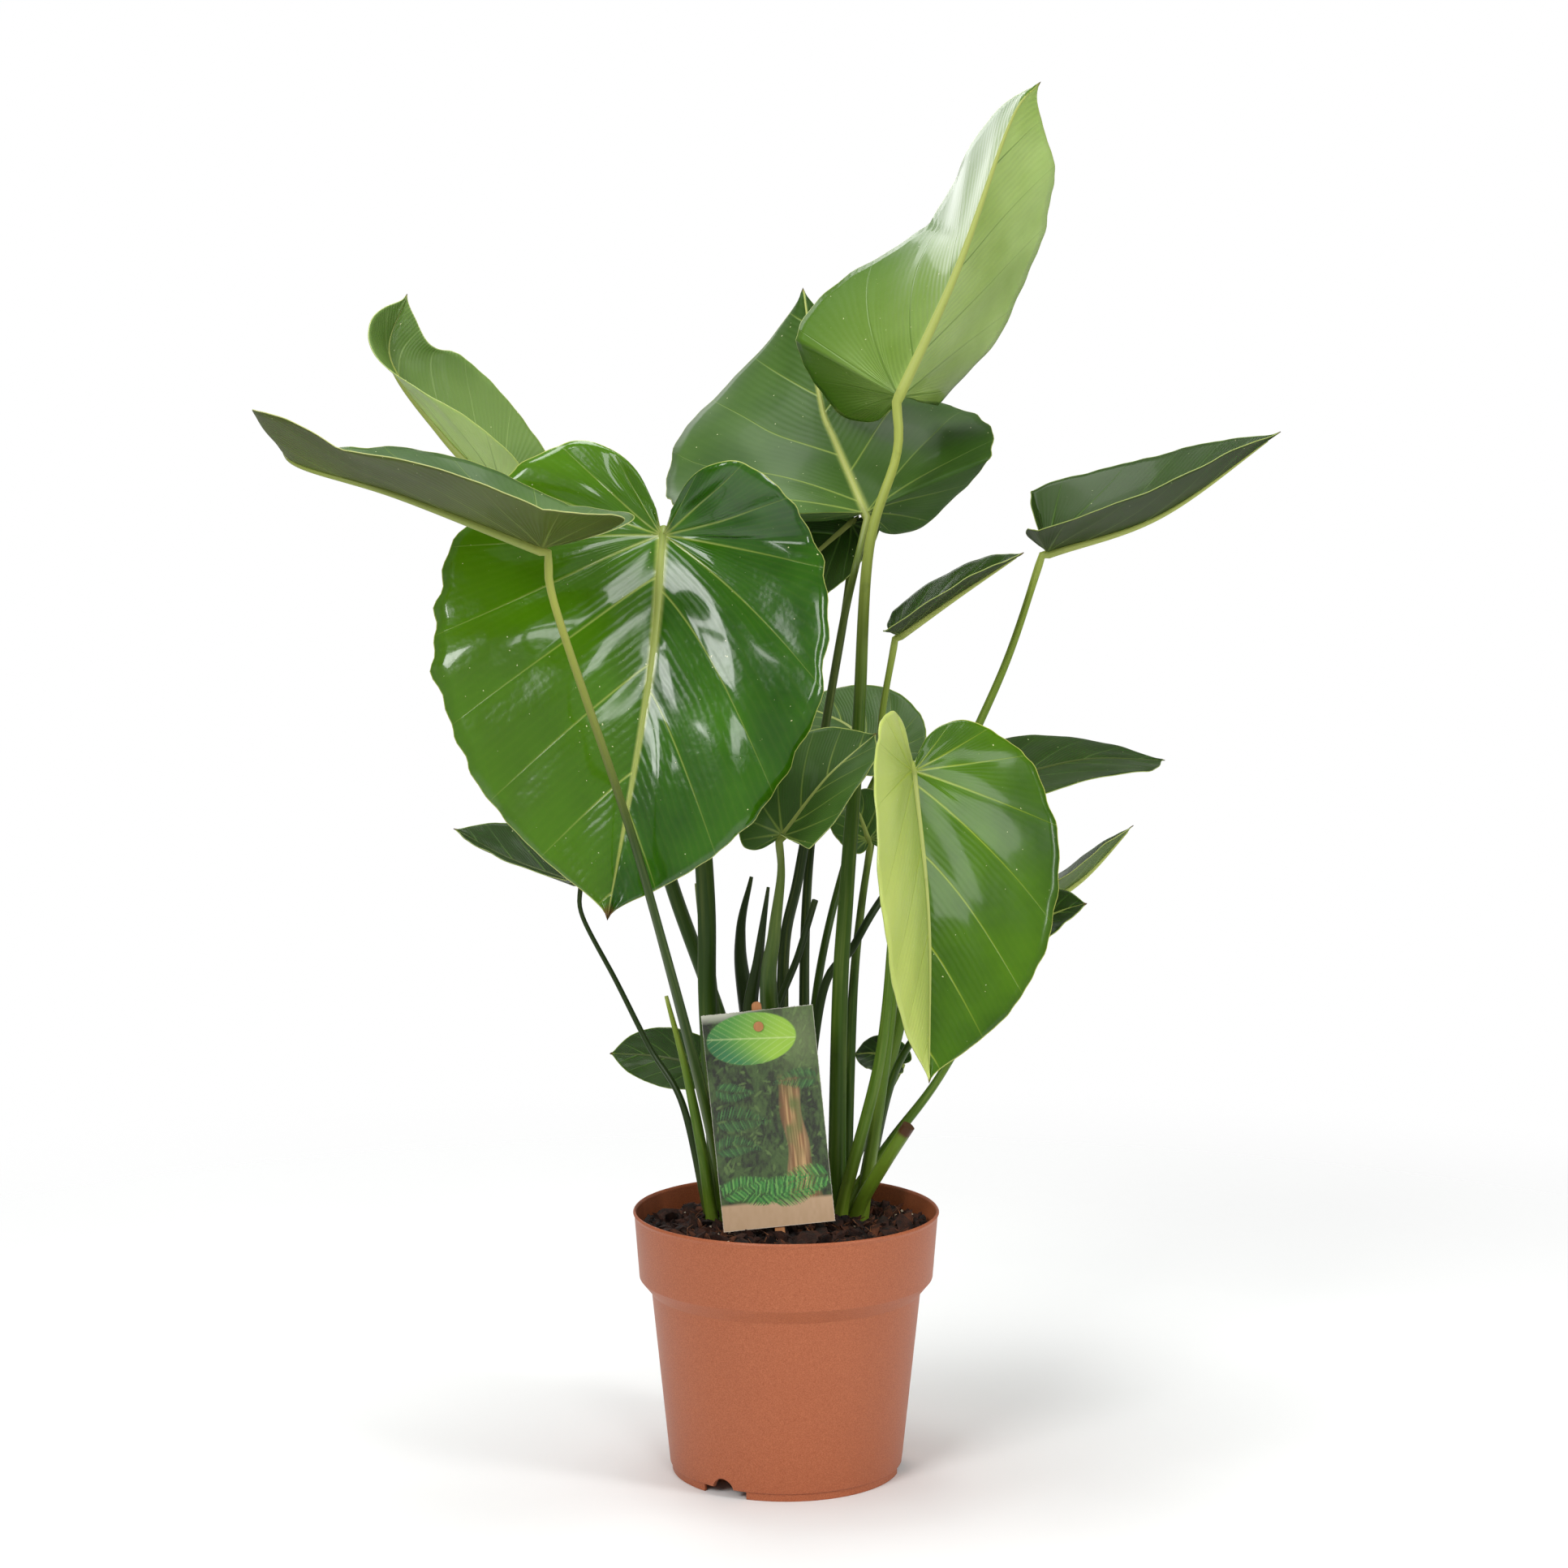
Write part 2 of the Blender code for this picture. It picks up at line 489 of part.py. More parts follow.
def build_pot(finish):
    foot_radius = BASE_RADIUS - FOOT_INSET
    step_z = POT_HEIGHT - COLLAR_HEIGHT
    collar_low = RIM_RADIUS - COLLAR_TAPER
    wall_top = collar_low - STEP_IN
    foot_inner = BASE_RADIUS - FOOT_WIDTH
    floor_bottom = FOOT_HEIGHT + SKIRT
    profile = (
        (0, floor_bottom),
        (foot_inner, floor_bottom),
        (foot_inner, 0),
        (foot_radius, 0),
        (foot_radius, FOOT_HEIGHT),
        (BASE_RADIUS, FOOT_HEIGHT),
        (wall_top, step_z - STEP_DROP),
        (collar_low, step_z),
        (RIM_RADIUS - RIM_DROP / 3, POT_HEIGHT - RIM_DROP),
        (RIM_RADIUS, POT_HEIGHT - RIM_DROP / 2),
        (RIM_RADIUS - WALL / 2, POT_HEIGHT),
        (RIM_RADIUS - WALL, POT_HEIGHT - RIM_DROP / 2),
        (collar_low - WALL, step_z),
        (wall_top - WALL, step_z - STEP_DROP),
        (BASE_RADIUS - WALL, floor_bottom + FLOOR),
        (0, floor_bottom + FLOOR),
    )
    pot = lathe("pot", profile, POT_SEGMENTS, finish)
    round_shading(pot)
    for number in range(FOOT_GAPS):
        angle = math.radians(FOOT_GAP_ANGLE) + 2 * math.pi * number / FOOT_GAPS
        out = Vector((math.cos(angle), math.sin(angle), 0))
        gap_size = (4 * FOOT_WIDTH, FOOT_GAP_WIDTH, 2 * (FOOT_HEIGHT - CLEARANCE))
        gap = box(f"foot_gap_{number}", gap_size, None)
        gap.location = out * (BASE_RADIUS - FOOT_WIDTH)
        gap.rotation_euler = (0, 0, angle)
        notch = cylinder(f"foot_notch_{number}", NOTCH_WIDTH / 2, 4 * FOOT_WIDTH, PEG_SEGMENTS)
        notch.rotation_euler = (0, math.pi / 2, angle)
        notch.location = out * (BASE_RADIUS - WALL) + Vector((0, 0, NOTCH_CENTRE))
        cut(pot, gap)
        cut(pot, notch)
    for number in range(DRAIN_HOLES):
        angle = math.radians(DRAIN_ANGLE) + 2 * math.pi * number / DRAIN_HOLES
        hole = cylinder(f"drain_{number}", DRAIN_RADIUS, 4 * FLOOR, PEG_SEGMENTS)
        hole.location = (DRAIN_RING * math.cos(angle), DRAIN_RING * math.sin(angle), floor_bottom)
        cut(pot, hole)
    return pot


def inner_radius(height):
    """The pot's inner radius at a height above the floor."""
    collar_low = RIM_RADIUS - COLLAR_TAPER - WALL
    step_z = POT_HEIGHT - COLLAR_HEIGHT
    floor = FOOT_HEIGHT + SKIRT + FLOOR
    heights = (floor, step_z - STEP_DROP, step_z, POT_HEIGHT - RIM_DROP / 2)
    radii = (BASE_RADIUS - WALL, collar_low - STEP_IN, collar_low, RIM_RADIUS - WALL)
    return float(np.interp(height, heights, radii))


def build_soil(finish):
    floor = FOOT_HEIGHT + SKIRT + FLOOR + CLEARANCE
    step_z = POT_HEIGHT - COLLAR_HEIGHT
    side = 2 * CLEARANCE
    heights = (floor, step_z - STEP_DROP, step_z, SOIL_TOP)
    profile = [(0, floor)] + [(inner_radius(z) - side, z) for z in heights] + [(0, SOIL_TOP)]
    return lathe("soil", profile, POT_SEGMENTS, finish)


def build_label(soil, card_finish, stick_finish):
    """A card that hangs on a peg in front of a flat stick, which stands in its slot in the soil."""
    tilt = math.radians(CARD_TILT)
    lean = math.radians(CARD_LEAN)
    place = bpy.data.objects.new("label_place", None)
    bpy.context.collection.objects.link(place)
    place.location = (CARD_BOTTOM[0], CARD_BOTTOM[1], SOIL_TOP + CARD_BOTTOM[2])
    place.rotation_euler = (-lean, -tilt, 0)
    card = box("label_card", (CARD_WIDTH, CARD_THICKNESS, CARD_HEIGHT), card_finish)
    card.location = (0, 0, CARD_HEIGHT / 2)
    stick_height = STICK_DEPTH + CARD_HEIGHT + STICK_ABOVE
    stick_back = CARD_THICKNESS / 2 + CLEARANCE + STICK_THICKNESS / 2
    stick = box("label_stick", (STICK_WIDTH, STICK_THICKNESS, stick_height), stick_finish)
    stick.location = (0, stick_back, CARD_HEIGHT + STICK_ABOVE - stick_height / 2)
    slot_size = (STICK_WIDTH + 2 * CLEARANCE, STICK_THICKNESS + 2 * CLEARANCE, stick_height + 2 * CLEARANCE)
    slot = box("label_stick_slot", slot_size, stick_finish)
    slot.location = stick.location
    peg_z = CARD_HEIGHT - PEG_DOWN
    front = CARD_THICKNESS / 2 + CLEARANCE
    peg_profile = (
        (0, 0),
        (PEG_RADIUS, 0),
        (PEG_RADIUS, CARD_THICKNESS + CLEARANCE),
        (PEG_HEAD_RADIUS, CARD_THICKNESS + CLEARANCE),
        (PEG_HEAD_RADIUS * PEG_HEAD_TAPER, CARD_THICKNESS + CLEARANCE + PEG_HEAD),
        (0, CARD_THICKNESS + CLEARANCE + PEG_HEAD),
    )
    peg = lathe("label_peg", peg_profile, PEG_SEGMENTS, stick_finish)
    peg.rotation_euler = (math.pi / 2, 0, 0)
    peg.location = (0, front - CLEARANCE, peg_z)
    hole = cylinder("label_card_hole", PEG_RADIUS + CLEARANCE, 4 * CARD_THICKNESS, PEG_SEGMENTS)
    hole.rotation_euler = (math.pi / 2, 0, 0)
    hole.location = (0, 0, peg_z)
    for obj in (card, stick, slot, peg, hole):
        obj.parent = place
    cut(card, hole)
    cut(soil, slot)


def crown_profile(grow):
    """A rounded stump: narrow below the soil, flat on top."""
    radius = CROWN_RADIUS + grow
    top = CROWN_HEIGHT + grow
    return (
        (0, -CROWN_DEPTH - grow),
        (radius * CROWN_FOOT, -CROWN_DEPTH - grow),
        (radius, -CROWN_SHOULDER),
        (radius, top),
        (0, top),
    )


def build_crown(crown, soil, finish):
    """The crown and the pocket that it fills in the soil."""
    body = lathe(crown.name, crown_profile(0), CROWN_SEGMENTS, finish)
    pocket = lathe(crown.name + "_pocket", crown_profile(CLEARANCE), CROWN_SEGMENTS, finish)
    for obj in (body, pocket):
        obj.location = (crown.x * PLANT_SCALE, crown.y * PLANT_SCALE, SOIL_TOP)
        obj.rotation_euler = (0, 0, math.radians(CROWN_TWIST))
    round_shading(body)
    cut(soil, pocket)
    return body


def main():
    clear_scene()
    terracotta = material("pot_plastic", (0.45, 0.15, 0.08), 0.5)
    peat = material("soil_mix", (0.03, 0.016, 0.01), 0.95)
    stem_green = material("stalk_green", (0.12, 0.25, 0.04), 0.45)
    leaf_green = material("leaf_green", (0.04, 0.15, 0.02), 0.3)
    printed_card = material("label_card", (0.25, 0.35, 0.15), 0.6)
    pale_wood = material("label_wood", (0.5, 0.3, 0.15), 0.7)
    build_pot(terracotta)
    soil = build_soil(peat)
    for crown in CROWNS:
        build_crown(crown, soil, stem_green)
    build_label(soil, printed_card, pale_wood)
    for leaf in LEAVES:
        build_leaf(leaf, leaf_green)
    for stalk in STALKS:
        build_stalk(stalk, stem_green)


main()
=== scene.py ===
"""A leafy houseplant in a nursery pot: the looks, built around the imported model."""

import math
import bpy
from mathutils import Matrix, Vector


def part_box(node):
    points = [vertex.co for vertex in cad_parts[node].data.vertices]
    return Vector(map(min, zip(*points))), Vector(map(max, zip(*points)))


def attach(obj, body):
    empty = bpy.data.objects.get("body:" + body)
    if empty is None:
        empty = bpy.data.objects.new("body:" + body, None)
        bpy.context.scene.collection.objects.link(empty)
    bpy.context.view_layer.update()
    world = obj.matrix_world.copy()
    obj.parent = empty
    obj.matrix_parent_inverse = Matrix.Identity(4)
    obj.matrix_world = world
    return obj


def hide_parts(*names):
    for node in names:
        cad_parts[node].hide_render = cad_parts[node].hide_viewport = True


bl_info = {
    "name": "Potted Monstera Plant",
    "version": (1, 0, 0),
    "blender": (4, 5, 0),
    "location": "View3D > Sidebar > Plant",
    "description": "Builds a potted plant with waxy leaves, a terracotta-coloured pot, soil and a care label",
    "category": "Add Mesh",
}

from collections import namedtuple

import bmesh
import bpy
import numpy as np
from bpy.props import FloatProperty, FloatVectorProperty, IntProperty, PointerProperty
from mathutils import Matrix, Vector, noise

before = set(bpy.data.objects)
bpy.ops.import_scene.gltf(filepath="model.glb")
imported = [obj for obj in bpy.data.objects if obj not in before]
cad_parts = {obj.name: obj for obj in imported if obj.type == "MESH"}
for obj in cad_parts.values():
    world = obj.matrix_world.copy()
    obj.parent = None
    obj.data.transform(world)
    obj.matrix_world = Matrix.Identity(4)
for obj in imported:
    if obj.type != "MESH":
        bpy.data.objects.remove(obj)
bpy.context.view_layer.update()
POT_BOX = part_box("pot")
SOIL_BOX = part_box("soil")
SOIL_TOP = SOIL_BOX[1][2]
SEED = 7

# The outline of one half of a leaf, laid flat: (share of half-width, share of length), from the
# notch at the stalk round the basal lobe to the tip.
HEART = (
    (0.05, -0.08),
    (0.14, -0.16),
    (0.27, -0.21),
    (0.45, -0.22),
    (0.70, -0.13),
    (0.92, 0.04),
    (1.00, 0.24),
    (0.96, 0.43),
    (0.84, 0.59),
    (0.66, 0.73),
    (0.48, 0.82),
    (0.26, 0.90),
    (0.11, 0.945),
    (0.03, 0.975),
    (0.00, 1.00),
)
# Share of the outline whose veins start at the stalk, before they start along the midrib, and how their starts spread.
FAN = 0.55
RIB_SPREAD = 1.25
# How far the brown tip of a leaf reaches: new growth, and the oldest leaf.
DRY_TIP = 0.0026
OLD_DRY_TIP = 0.0086
# The soil's edge inside the pot's rim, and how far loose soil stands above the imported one.
SOIL_EDGE = POT_BOX[1][0] - 0.0068
SOIL_RISE = 0.0022
# The pot's foot: gaps and notches in its ring, and drain holes in its floor.
FOOT_GAPS = 3
GAP_DEPTH, GAP_WIDTH = 0.016, 0.030
NOTCH_RADIUS, NOTCH_HEIGHT = 0.0075, 0.0037
DRAIN_HOLES = 6
DRAIN_RADIUS, DRAIN_RING, DRAIN_TURN = 0.005, 0.045, 17
CUT_DEPTH = 0.016
SLOT_RING = 0.0086
SLOT_RISE = 0.006
CROWN_HEIGHT = 0.007

Crown = namedtuple("Crown", "name x y slots turn")
Leaf = namedtuple("Leaf", "name upper under puff wave rib spine face half fold curl lobes lobe_size", defaults=(1.0,))
Stalk = namedtuple("Stalk", "name finish crown slot radii route leaf", defaults=(None,))

CROWNS = (
    Crown("crown_left_front", -0.042, 0.008, 5, 90),
    Crown("crown_left_back", -0.030, 0.044, 4, 45),
    Crown("crown_centre", 0.000, 0.016, 4, 45),
    Crown("crown_centre_back", 0.006, 0.056, 4, 45),
    Crown("crown_right_front", 0.040, 0.010, 5, 90),
    Crown("crown_right_back", 0.044, 0.046, 4, 45),
)

# puff, wave and rib: how far the blade swells between veins and waves at its margin, and the midrib's width in millimetres.
# spine: base to tip along the midrib. face: the upper side's direction at base and tip.
# half and lobes: one number for each side. fold and curl: degrees at base, middle and tip.
LEAVES = (
    Leaf("leaf_01_front_large", "waxy_old", "under_dull", 1.35, 1.6, 5.2,
         ((-0.073, -0.050, 0.429), (-0.080, -0.078, 0.345), (-0.104, -0.100, 0.206)),
         ((0.0, -1.0, 0.3), (0.0, -1.0, 0.2)),
         (0.130, 0.102), ((8, 8, 8), (8, 8, 8)), ((-10, -10, -10), (-10, -10, -10)), (10, 50)),
    Leaf("leaf_02_left_low", "waxy_grey", "under_olive", 0.3, 0.8, 1.6,
         ((-0.135, -0.165, 0.422), (-0.215, -0.160, 0.452), (-0.272, -0.140, 0.468), (-0.292, -0.090, 0.480)),
         ((0.0, -0.1, 1.0), (0.2, 0.1, 0.9)),
         (0.066, 0.068), ((15, 20, 20), (25, 15, 50)), ((10, 10, 10), (5, 5, 10)), (30, 30)),
    Leaf("leaf_03_left_high", "under_pale", "under_new", 0.4, 0.6, 1.6,
         ((-0.175, 0.012, 0.456), (-0.211, 0.022, 0.492), (-0.244, 0.030, 0.538), (-0.234, 0.040, 0.578)),
         ((0.69, -0.34, 0.64), (0.5, -0.8, 0.3)),
         (0.048, 0.048), ((35, 32, 25), (50, 45, 25)), ((0, 0, 0), (5, 5, 5)), (0, 0)),
    Leaf("leaf_04_centre_back", "waxy_grey", "under_dull", 0.4, 1.0, 4.6,
         ((0.049, 0.030, 0.443), (0.031, 0.070, 0.488), (0.022, 0.090, 0.514), (0.011, 0.140, 0.590)),
         ((0.0, -0.8, 0.6), (0.0, -0.9, 0.4)),
         (0.095, 0.112), ((20, -10, -50), (20, -10, -50)), ((-10, -10, -10), (-10, -10, -10)), (-95, -125)),
    Leaf("leaf_05_top", "waxy_new", "under_new", 0.4, 1.2, 2.0,
         ((0.069, 0.000, 0.513), (0.103, -0.010, 0.588), (0.134, -0.020, 0.675), (0.151, -0.025, 0.697)),
         ((0.2, 1.0, -0.2), (0.2, 1.0, -0.2)),
         (0.112, 0.092), ((25, 60, 60), (85, 70, 55)), ((0, 5, 5), (5, 5, 5)), (50, 120)),
    Leaf("leaf_06_behind", "waxy_dark", "under_dark", 0.3, 0.5, 1.2,
         ((0.041, 0.070, 0.437), (0.015, 0.080, 0.414), (-0.015, 0.090, 0.385)),
         ((0.0, -1.0, 0.5), (0.0, -1.0, 0.3)),
         (0.042, 0.030), ((10, 10, 10), (10, 10, 10)), ((10, 10, 10), (10, 10, 10)), (0, 0)),
    Leaf("leaf_07_right_high", "waxy_dark", "under_dark", 0.3, 0.6, 1.4,
         ((0.162, 0.030, 0.419), (0.230, 0.020, 0.442), (0.300, 0.000, 0.492)),
         ((-0.38, -0.35, 0.85), (-0.38, -0.35, 0.85)),
         (0.055, 0.058), ((40, 40, 40), (25, 15, 5)), ((0, 0, 0), (5, 5, 5)), (50, 80), 0.35),
    Leaf("leaf_08_right_small", "waxy_dark", "under_dark", 0.3, 0.5, 1.0,
         ((0.069, 0.000, 0.369), (0.105, -0.010, 0.394), (0.143, -0.020, 0.419)),
         ((-0.38, -0.35, 0.85), (-0.38, -0.35, 0.85)),
         (0.028, 0.032), ((35, 35, 35), (8, 8, 8)), ((0, 0, 0), (0, 0, 0)), (50, 20), 0.3),
    Leaf("leaf_09_bright", "waxy_new", "under_new", 0.3, 1.0, 1.8,
         ((0.075, -0.060, 0.290), (0.083, -0.090, 0.205), (0.083, -0.110, 0.112)),
         ((0.2, -1.0, 0.3), (0.2, -1.0, 0.2)),
         (0.070, 0.081), ((56, 54, 46), (8, 8, 8)), ((0, 0, 0), (-5, -5, -5)), (20, 0), 0.7),
    Leaf("leaf_10_centre_small", "waxy_grey", "under_dull", 0.2, 0.4, 1.0,
         ((-0.002, -0.050, 0.251), (0.025, -0.040, 0.285), (0.055, -0.020, 0.310)),
         ((-0.07, -0.85, 0.53), (-0.07, -0.85, 0.53)),
         (0.033, 0.035), ((30, 30, 30), (15, 15, 15)), ((10, 10, 10), (10, 10, 10)), (80, 0)),
    Leaf("leaf_11_centre_far", "waxy_grey", "under_dull", 0.3, 0.5, 1.0,
         ((0.063, 0.160, 0.283), (0.040, 0.190, 0.302), (0.005, 0.222, 0.315)),
         ((0.0, -0.6, 0.8), (0.0, -0.6, 0.8)),
         (0.042, 0.042), ((10, 10, 10), (10, 10, 10)), ((10, 10, 10), (10, 10, 10)), (0, 0)),
    Leaf("leaf_12_right_back", "waxy_dark", "under_dull", 0.3, 0.6, 1.2,
         ((0.122, 0.100, 0.266), (0.195, 0.155, 0.280), (0.261, 0.222, 0.275)),
         ((0.0, -0.5, 0.9), (0.0, -0.6, 0.8)),
         (0.040, 0.038), ((10, 10, 10), (5, 0, 0)), ((10, 10, 10), (0, 0, 0)), (35, 35)),
    Leaf("leaf_13_right_narrow", "waxy_dark", "under_dull", 0.2, 0.4, 0.9,
         ((0.146, 0.040, 0.190), (0.185, 0.045, 0.213), (0.219, 0.050, 0.247)),
         ((-0.4, 0.1, 0.9), (-0.4, 0.1, 0.9)),
         (0.030, 0.030), ((20, 20, 20), (20, 20, 20)), ((0, 0, 0), (0, 0, 0)), (0, 0)),
    Leaf("leaf_14_right_low", "waxy_dark", "under_dull", 0.2, 0.4, 0.8,
         ((0.143, 0.000, 0.185), (0.165, -0.005, 0.198), (0.184, -0.010, 0.205)),
         ((0.0, -0.6, 0.8), (0.0, -0.6, 0.8)),
         (0.022, 0.022), ((10, 10, 10), (10, 10, 10)), ((10, 10, 10), (10, 10, 10)), (0, 0)),
    Leaf("leaf_15_left_back", "waxy_dark", "under_dark", 0.2, 0.5, 0.9,
         ((-0.133, 0.040, 0.212), (-0.175, 0.050, 0.226), (-0.211, 0.060, 0.244)),
         ((0.0, -0.6, 0.8), (0.0, -0.6, 0.8)),
         (0.030, 0.026), ((10, 10, 10), (40, 40, 40)), ((10, 10, 10), (10, 10, 10)), (0, 40)),
    Leaf("leaf_16_left_bottom", "waxy_dark", "under_dull", 0.2, 0.4, 0.8,
         ((-0.056, 0.064, 0.092), (-0.086, 0.072, 0.096), (-0.114, 0.080, 0.096)),
         ((0.0, -1.0, 0.3), (0.0, -1.0, 0.3)),
         (0.020, 0.020), ((10, 10, 10), (10, 10, 10)), ((10, 10, 10), (10, 10, 10)), (0, 0)),
    Leaf("leaf_17_right_bottom", "waxy_dark", "under_dull", 0.2, 0.4, 0.7,
         ((0.072, 0.080, 0.090), (0.058, 0.090, 0.094), (0.044, 0.100, 0.092)),
         ((0.0, -0.8, 0.5), (0.0, -0.8, 0.5)),
         (0.014, 0.014), ((10, 10, 10), (10, 10, 10)), ((10, 10, 10), (10, 10, 10)), (0, 0)),
    Leaf("leaf_18_centre_behind", "waxy_grey", "under_dull", 0.2, 0.4, 0.8,
         ((0.052, 0.050, 0.238), (0.045, 0.065, 0.255), (0.035, 0.080, 0.261)),
         ((0.0, -0.8, 0.5), (0.0, -0.8, 0.5)),
         (0.022, 0.022), ((10, 10, 10), (10, 10, 10)), ((10, 10, 10), (10, 10, 10)), (0, 0)),
)

# radii: at the crown, midway and under the leaf. route: from the crown up.
STALKS = (
    Stalk("stalk_01", "mid", "crown_left_front", 0, (0.0058, 0.0056, 0.0030),
          ((-0.049, 0.020, 0.137), (-0.050, 0.015, 0.209), (-0.059, 0.005, 0.335), (-0.070, -0.012, 0.410)),
          "leaf_01_front_large"),
    Stalk("stalk_02", "pale_top", "crown_left_front", 3, (0.0040, 0.0026, 0.0022),
          ((-0.051, -0.030, 0.092), (-0.079, -0.115, 0.224), (-0.096, -0.140, 0.287), (-0.128, -0.162, 0.389)),
          "leaf_02_left_low"),
    Stalk("stalk_03", "mid", "crown_left_back", 0, (0.0052, 0.0044, 0.0028),
          ((-0.037, 0.056, 0.104), (-0.074, 0.060, 0.212), (-0.107, 0.050, 0.334), (-0.146, 0.035, 0.409)),
          "leaf_03_left_high"),
    Stalk("stalk_04", "dark", "crown_centre_back", 2, (0.0045, 0.0032, 0.0022),
          ((-0.002, 0.053, 0.156), (0.008, 0.048, 0.216), (0.024, 0.036, 0.308), (0.035, 0.018, 0.375), (0.042, 0.008, 0.408)),
          "leaf_04_centre_back"),
    Stalk("stalk_05", "new", "crown_right_front", 1, (0.0056, 0.0044, 0.0027),
          ((0.033, 0.006, 0.140), (0.037, 0.004, 0.210), (0.044, 0.000, 0.310), (0.050, 0.000, 0.419),
           (0.067, 0.000, 0.478)), "leaf_05_top"),
    Stalk("stalk_06", "dark", "crown_centre_back", 3, (0.0040, 0.0028, 0.0024),
          ((0.012, 0.064, 0.176), (0.021, 0.070, 0.280), (0.037, 0.076, 0.378)), "leaf_06_behind"),
    Stalk("stalk_07", "fresh", "crown_right_back", 0, (0.0045, 0.0030, 0.0022),
          ((0.062, 0.050, 0.080), (0.074, 0.050, 0.131), (0.082, 0.050, 0.207), (0.102, 0.045, 0.268),
           (0.137, 0.040, 0.349)), "leaf_07_right_high"),
    Stalk("stalk_08", "fresh", "crown_right_front", 4, (0.0042, 0.0030, 0.0020),
          ((0.065, 0.012, 0.133), (0.067, 0.012, 0.209), (0.062, 0.008, 0.260), (0.058, 0.002, 0.310)),
          "leaf_08_right_small"),
    Stalk("stalk_09", "fresh", "crown_right_front", 2, (0.0042, 0.0030, 0.0026),
          ((0.058, -0.010, 0.111), (0.067, -0.020, 0.213), (0.074, -0.040, 0.270)), "leaf_09_bright"),
    Stalk("stalk_10", "mid", "crown_centre", 3, (0.0070, 0.0064, 0.0022),
          ((-0.010, -0.010, 0.141), (-0.007, -0.030, 0.189), (-0.003, -0.042, 0.226)),
          "leaf_10_centre_small"),
    Stalk("stalk_11", "mid", "crown_centre_back", 0, (0.0036, 0.0026, 0.0022),
          ((0.020, 0.085, 0.138), (0.045, 0.130, 0.235)), "leaf_11_centre_far"),
    Stalk("stalk_12", "old", "crown_centre", 0, (0.0036, 0.0026, 0.0020),
          ((0.022, 0.024, 0.140), (0.041, 0.028, 0.171), (0.059, 0.038, 0.200), (0.095, 0.072, 0.243)),
          "leaf_12_right_back"),
    Stalk("stalk_13", "fresh", "crown_right_front", 0, (0.0040, 0.0026, 0.0020),
          ((0.067, 0.026, 0.051), (0.097, 0.026, 0.092), (0.133, 0.034, 0.156)), "leaf_13_right_narrow"),
    Stalk("stalk_14", "mid", "crown_right_back", 3, (0.0036, 0.0024, 0.0018),
          ((0.070, 0.034, 0.096), (0.106, 0.010, 0.148)), "leaf_14_right_low"),
    Stalk("stalk_15", "old", "crown_left_front", 1, (0.0028, 0.0018, 0.0014),
          ((-0.065, 0.020, 0.075), (-0.086, 0.035, 0.108), (-0.107, 0.040, 0.149), (-0.128, 0.040, 0.190)),
          "leaf_15_left_back"),
    Stalk("stalk_16", "old", "crown_left_back", 1, (0.0028, 0.0018, 0.0014),
          ((-0.046, 0.058, 0.060),), "leaf_16_left_bottom"),
    Stalk("stalk_17", "mid", "crown_right_back", 1, (0.0028, 0.0018, 0.0014),
          ((0.060, 0.070, 0.060),), "leaf_17_right_bottom"),
    Stalk("stalk_18", "mid", "crown_right_back", 2, (0.0040, 0.0032, 0.0022),
          ((0.042, 0.050, 0.133), (0.047, 0.052, 0.190)), "leaf_18_centre_behind"),
    # Old stalks and sheaths with no leaf: the last point is the free end.
    Stalk("sheath_left", "fresh", "crown_left_front", 2, (0.0040, 0.0032, 0.0012),
          ((-0.052, 0.000, 0.048), (-0.062, 0.000, 0.099), (-0.074, 0.000, 0.146))),
    Stalk("stub_left", "mid", "crown_left_back", 2, (0.0045, 0.0045, 0.0035),
          ((-0.047, 0.036, 0.140), (-0.054, 0.034, 0.212))),
    Stalk("sheath_centre", "old", "crown_centre_back", 1, (0.0050, 0.0072, 0.0012),
          ((-0.025, 0.062, 0.132), (-0.029, 0.062, 0.177), (-0.022, 0.060, 0.213))),
    Stalk("stub_centre", "old", "crown_centre", 1, (0.0036, 0.0026, 0.0020),
          ((-0.009, 0.024, 0.114), (0.008, 0.018, 0.170), (0.018, 0.012, 0.204))),
    Stalk("bract_centre", "old", "crown_centre", 2, (0.0042, 0.0062, 0.0010),
          ((-0.022, 0.006, 0.120), (-0.017, 0.002, 0.170), (-0.011, -0.004, 0.214))),
    Stalk("cut_stub_right", "cut", "crown_right_front", 3, (0.0045, 0.0042, 0.0040),
          ((0.061, -0.012, 0.045), (0.075, -0.020, 0.069))),
)


def linear(hex_colour, alpha=1.0):
    """An sRGB hex colour as the linear RGBA that Blender's sockets take."""
    parts = [int(hex_colour[i:i + 2], 16) / 255 for i in (1, 3, 5)]
    return (*[c / 12.92 if c <= 0.04045 else ((c + 0.055) / 1.055) ** 2.4 for c in parts], alpha)


def node(tree, kind, settings=None, links=None):
    """Adds a node: settings are its properties, or its inputs by name or number; links are outputs for inputs."""
    made = tree.nodes.new(kind)
    for key, value in (settings or {}).items():
        if isinstance(key, str) and hasattr(made, key):
            setattr(made, key, value)
        else:
            made.inputs[key].default_value = value
    for key, output in (links or {}).items():
        tree.links.new(output, made.inputs[key])
    return made


def new_finish(name):
    """An empty material with its output node, for a named finish."""
    made = bpy.data.materials.new(name)
    made.use_nodes = True
    made.node_tree.nodes.clear()
    return made, made.node_tree


def finish_output(tree, shader):
    out = tree.nodes.new("ShaderNodeOutputMaterial")
    tree.links.new(shader.outputs[0], out.inputs[0])


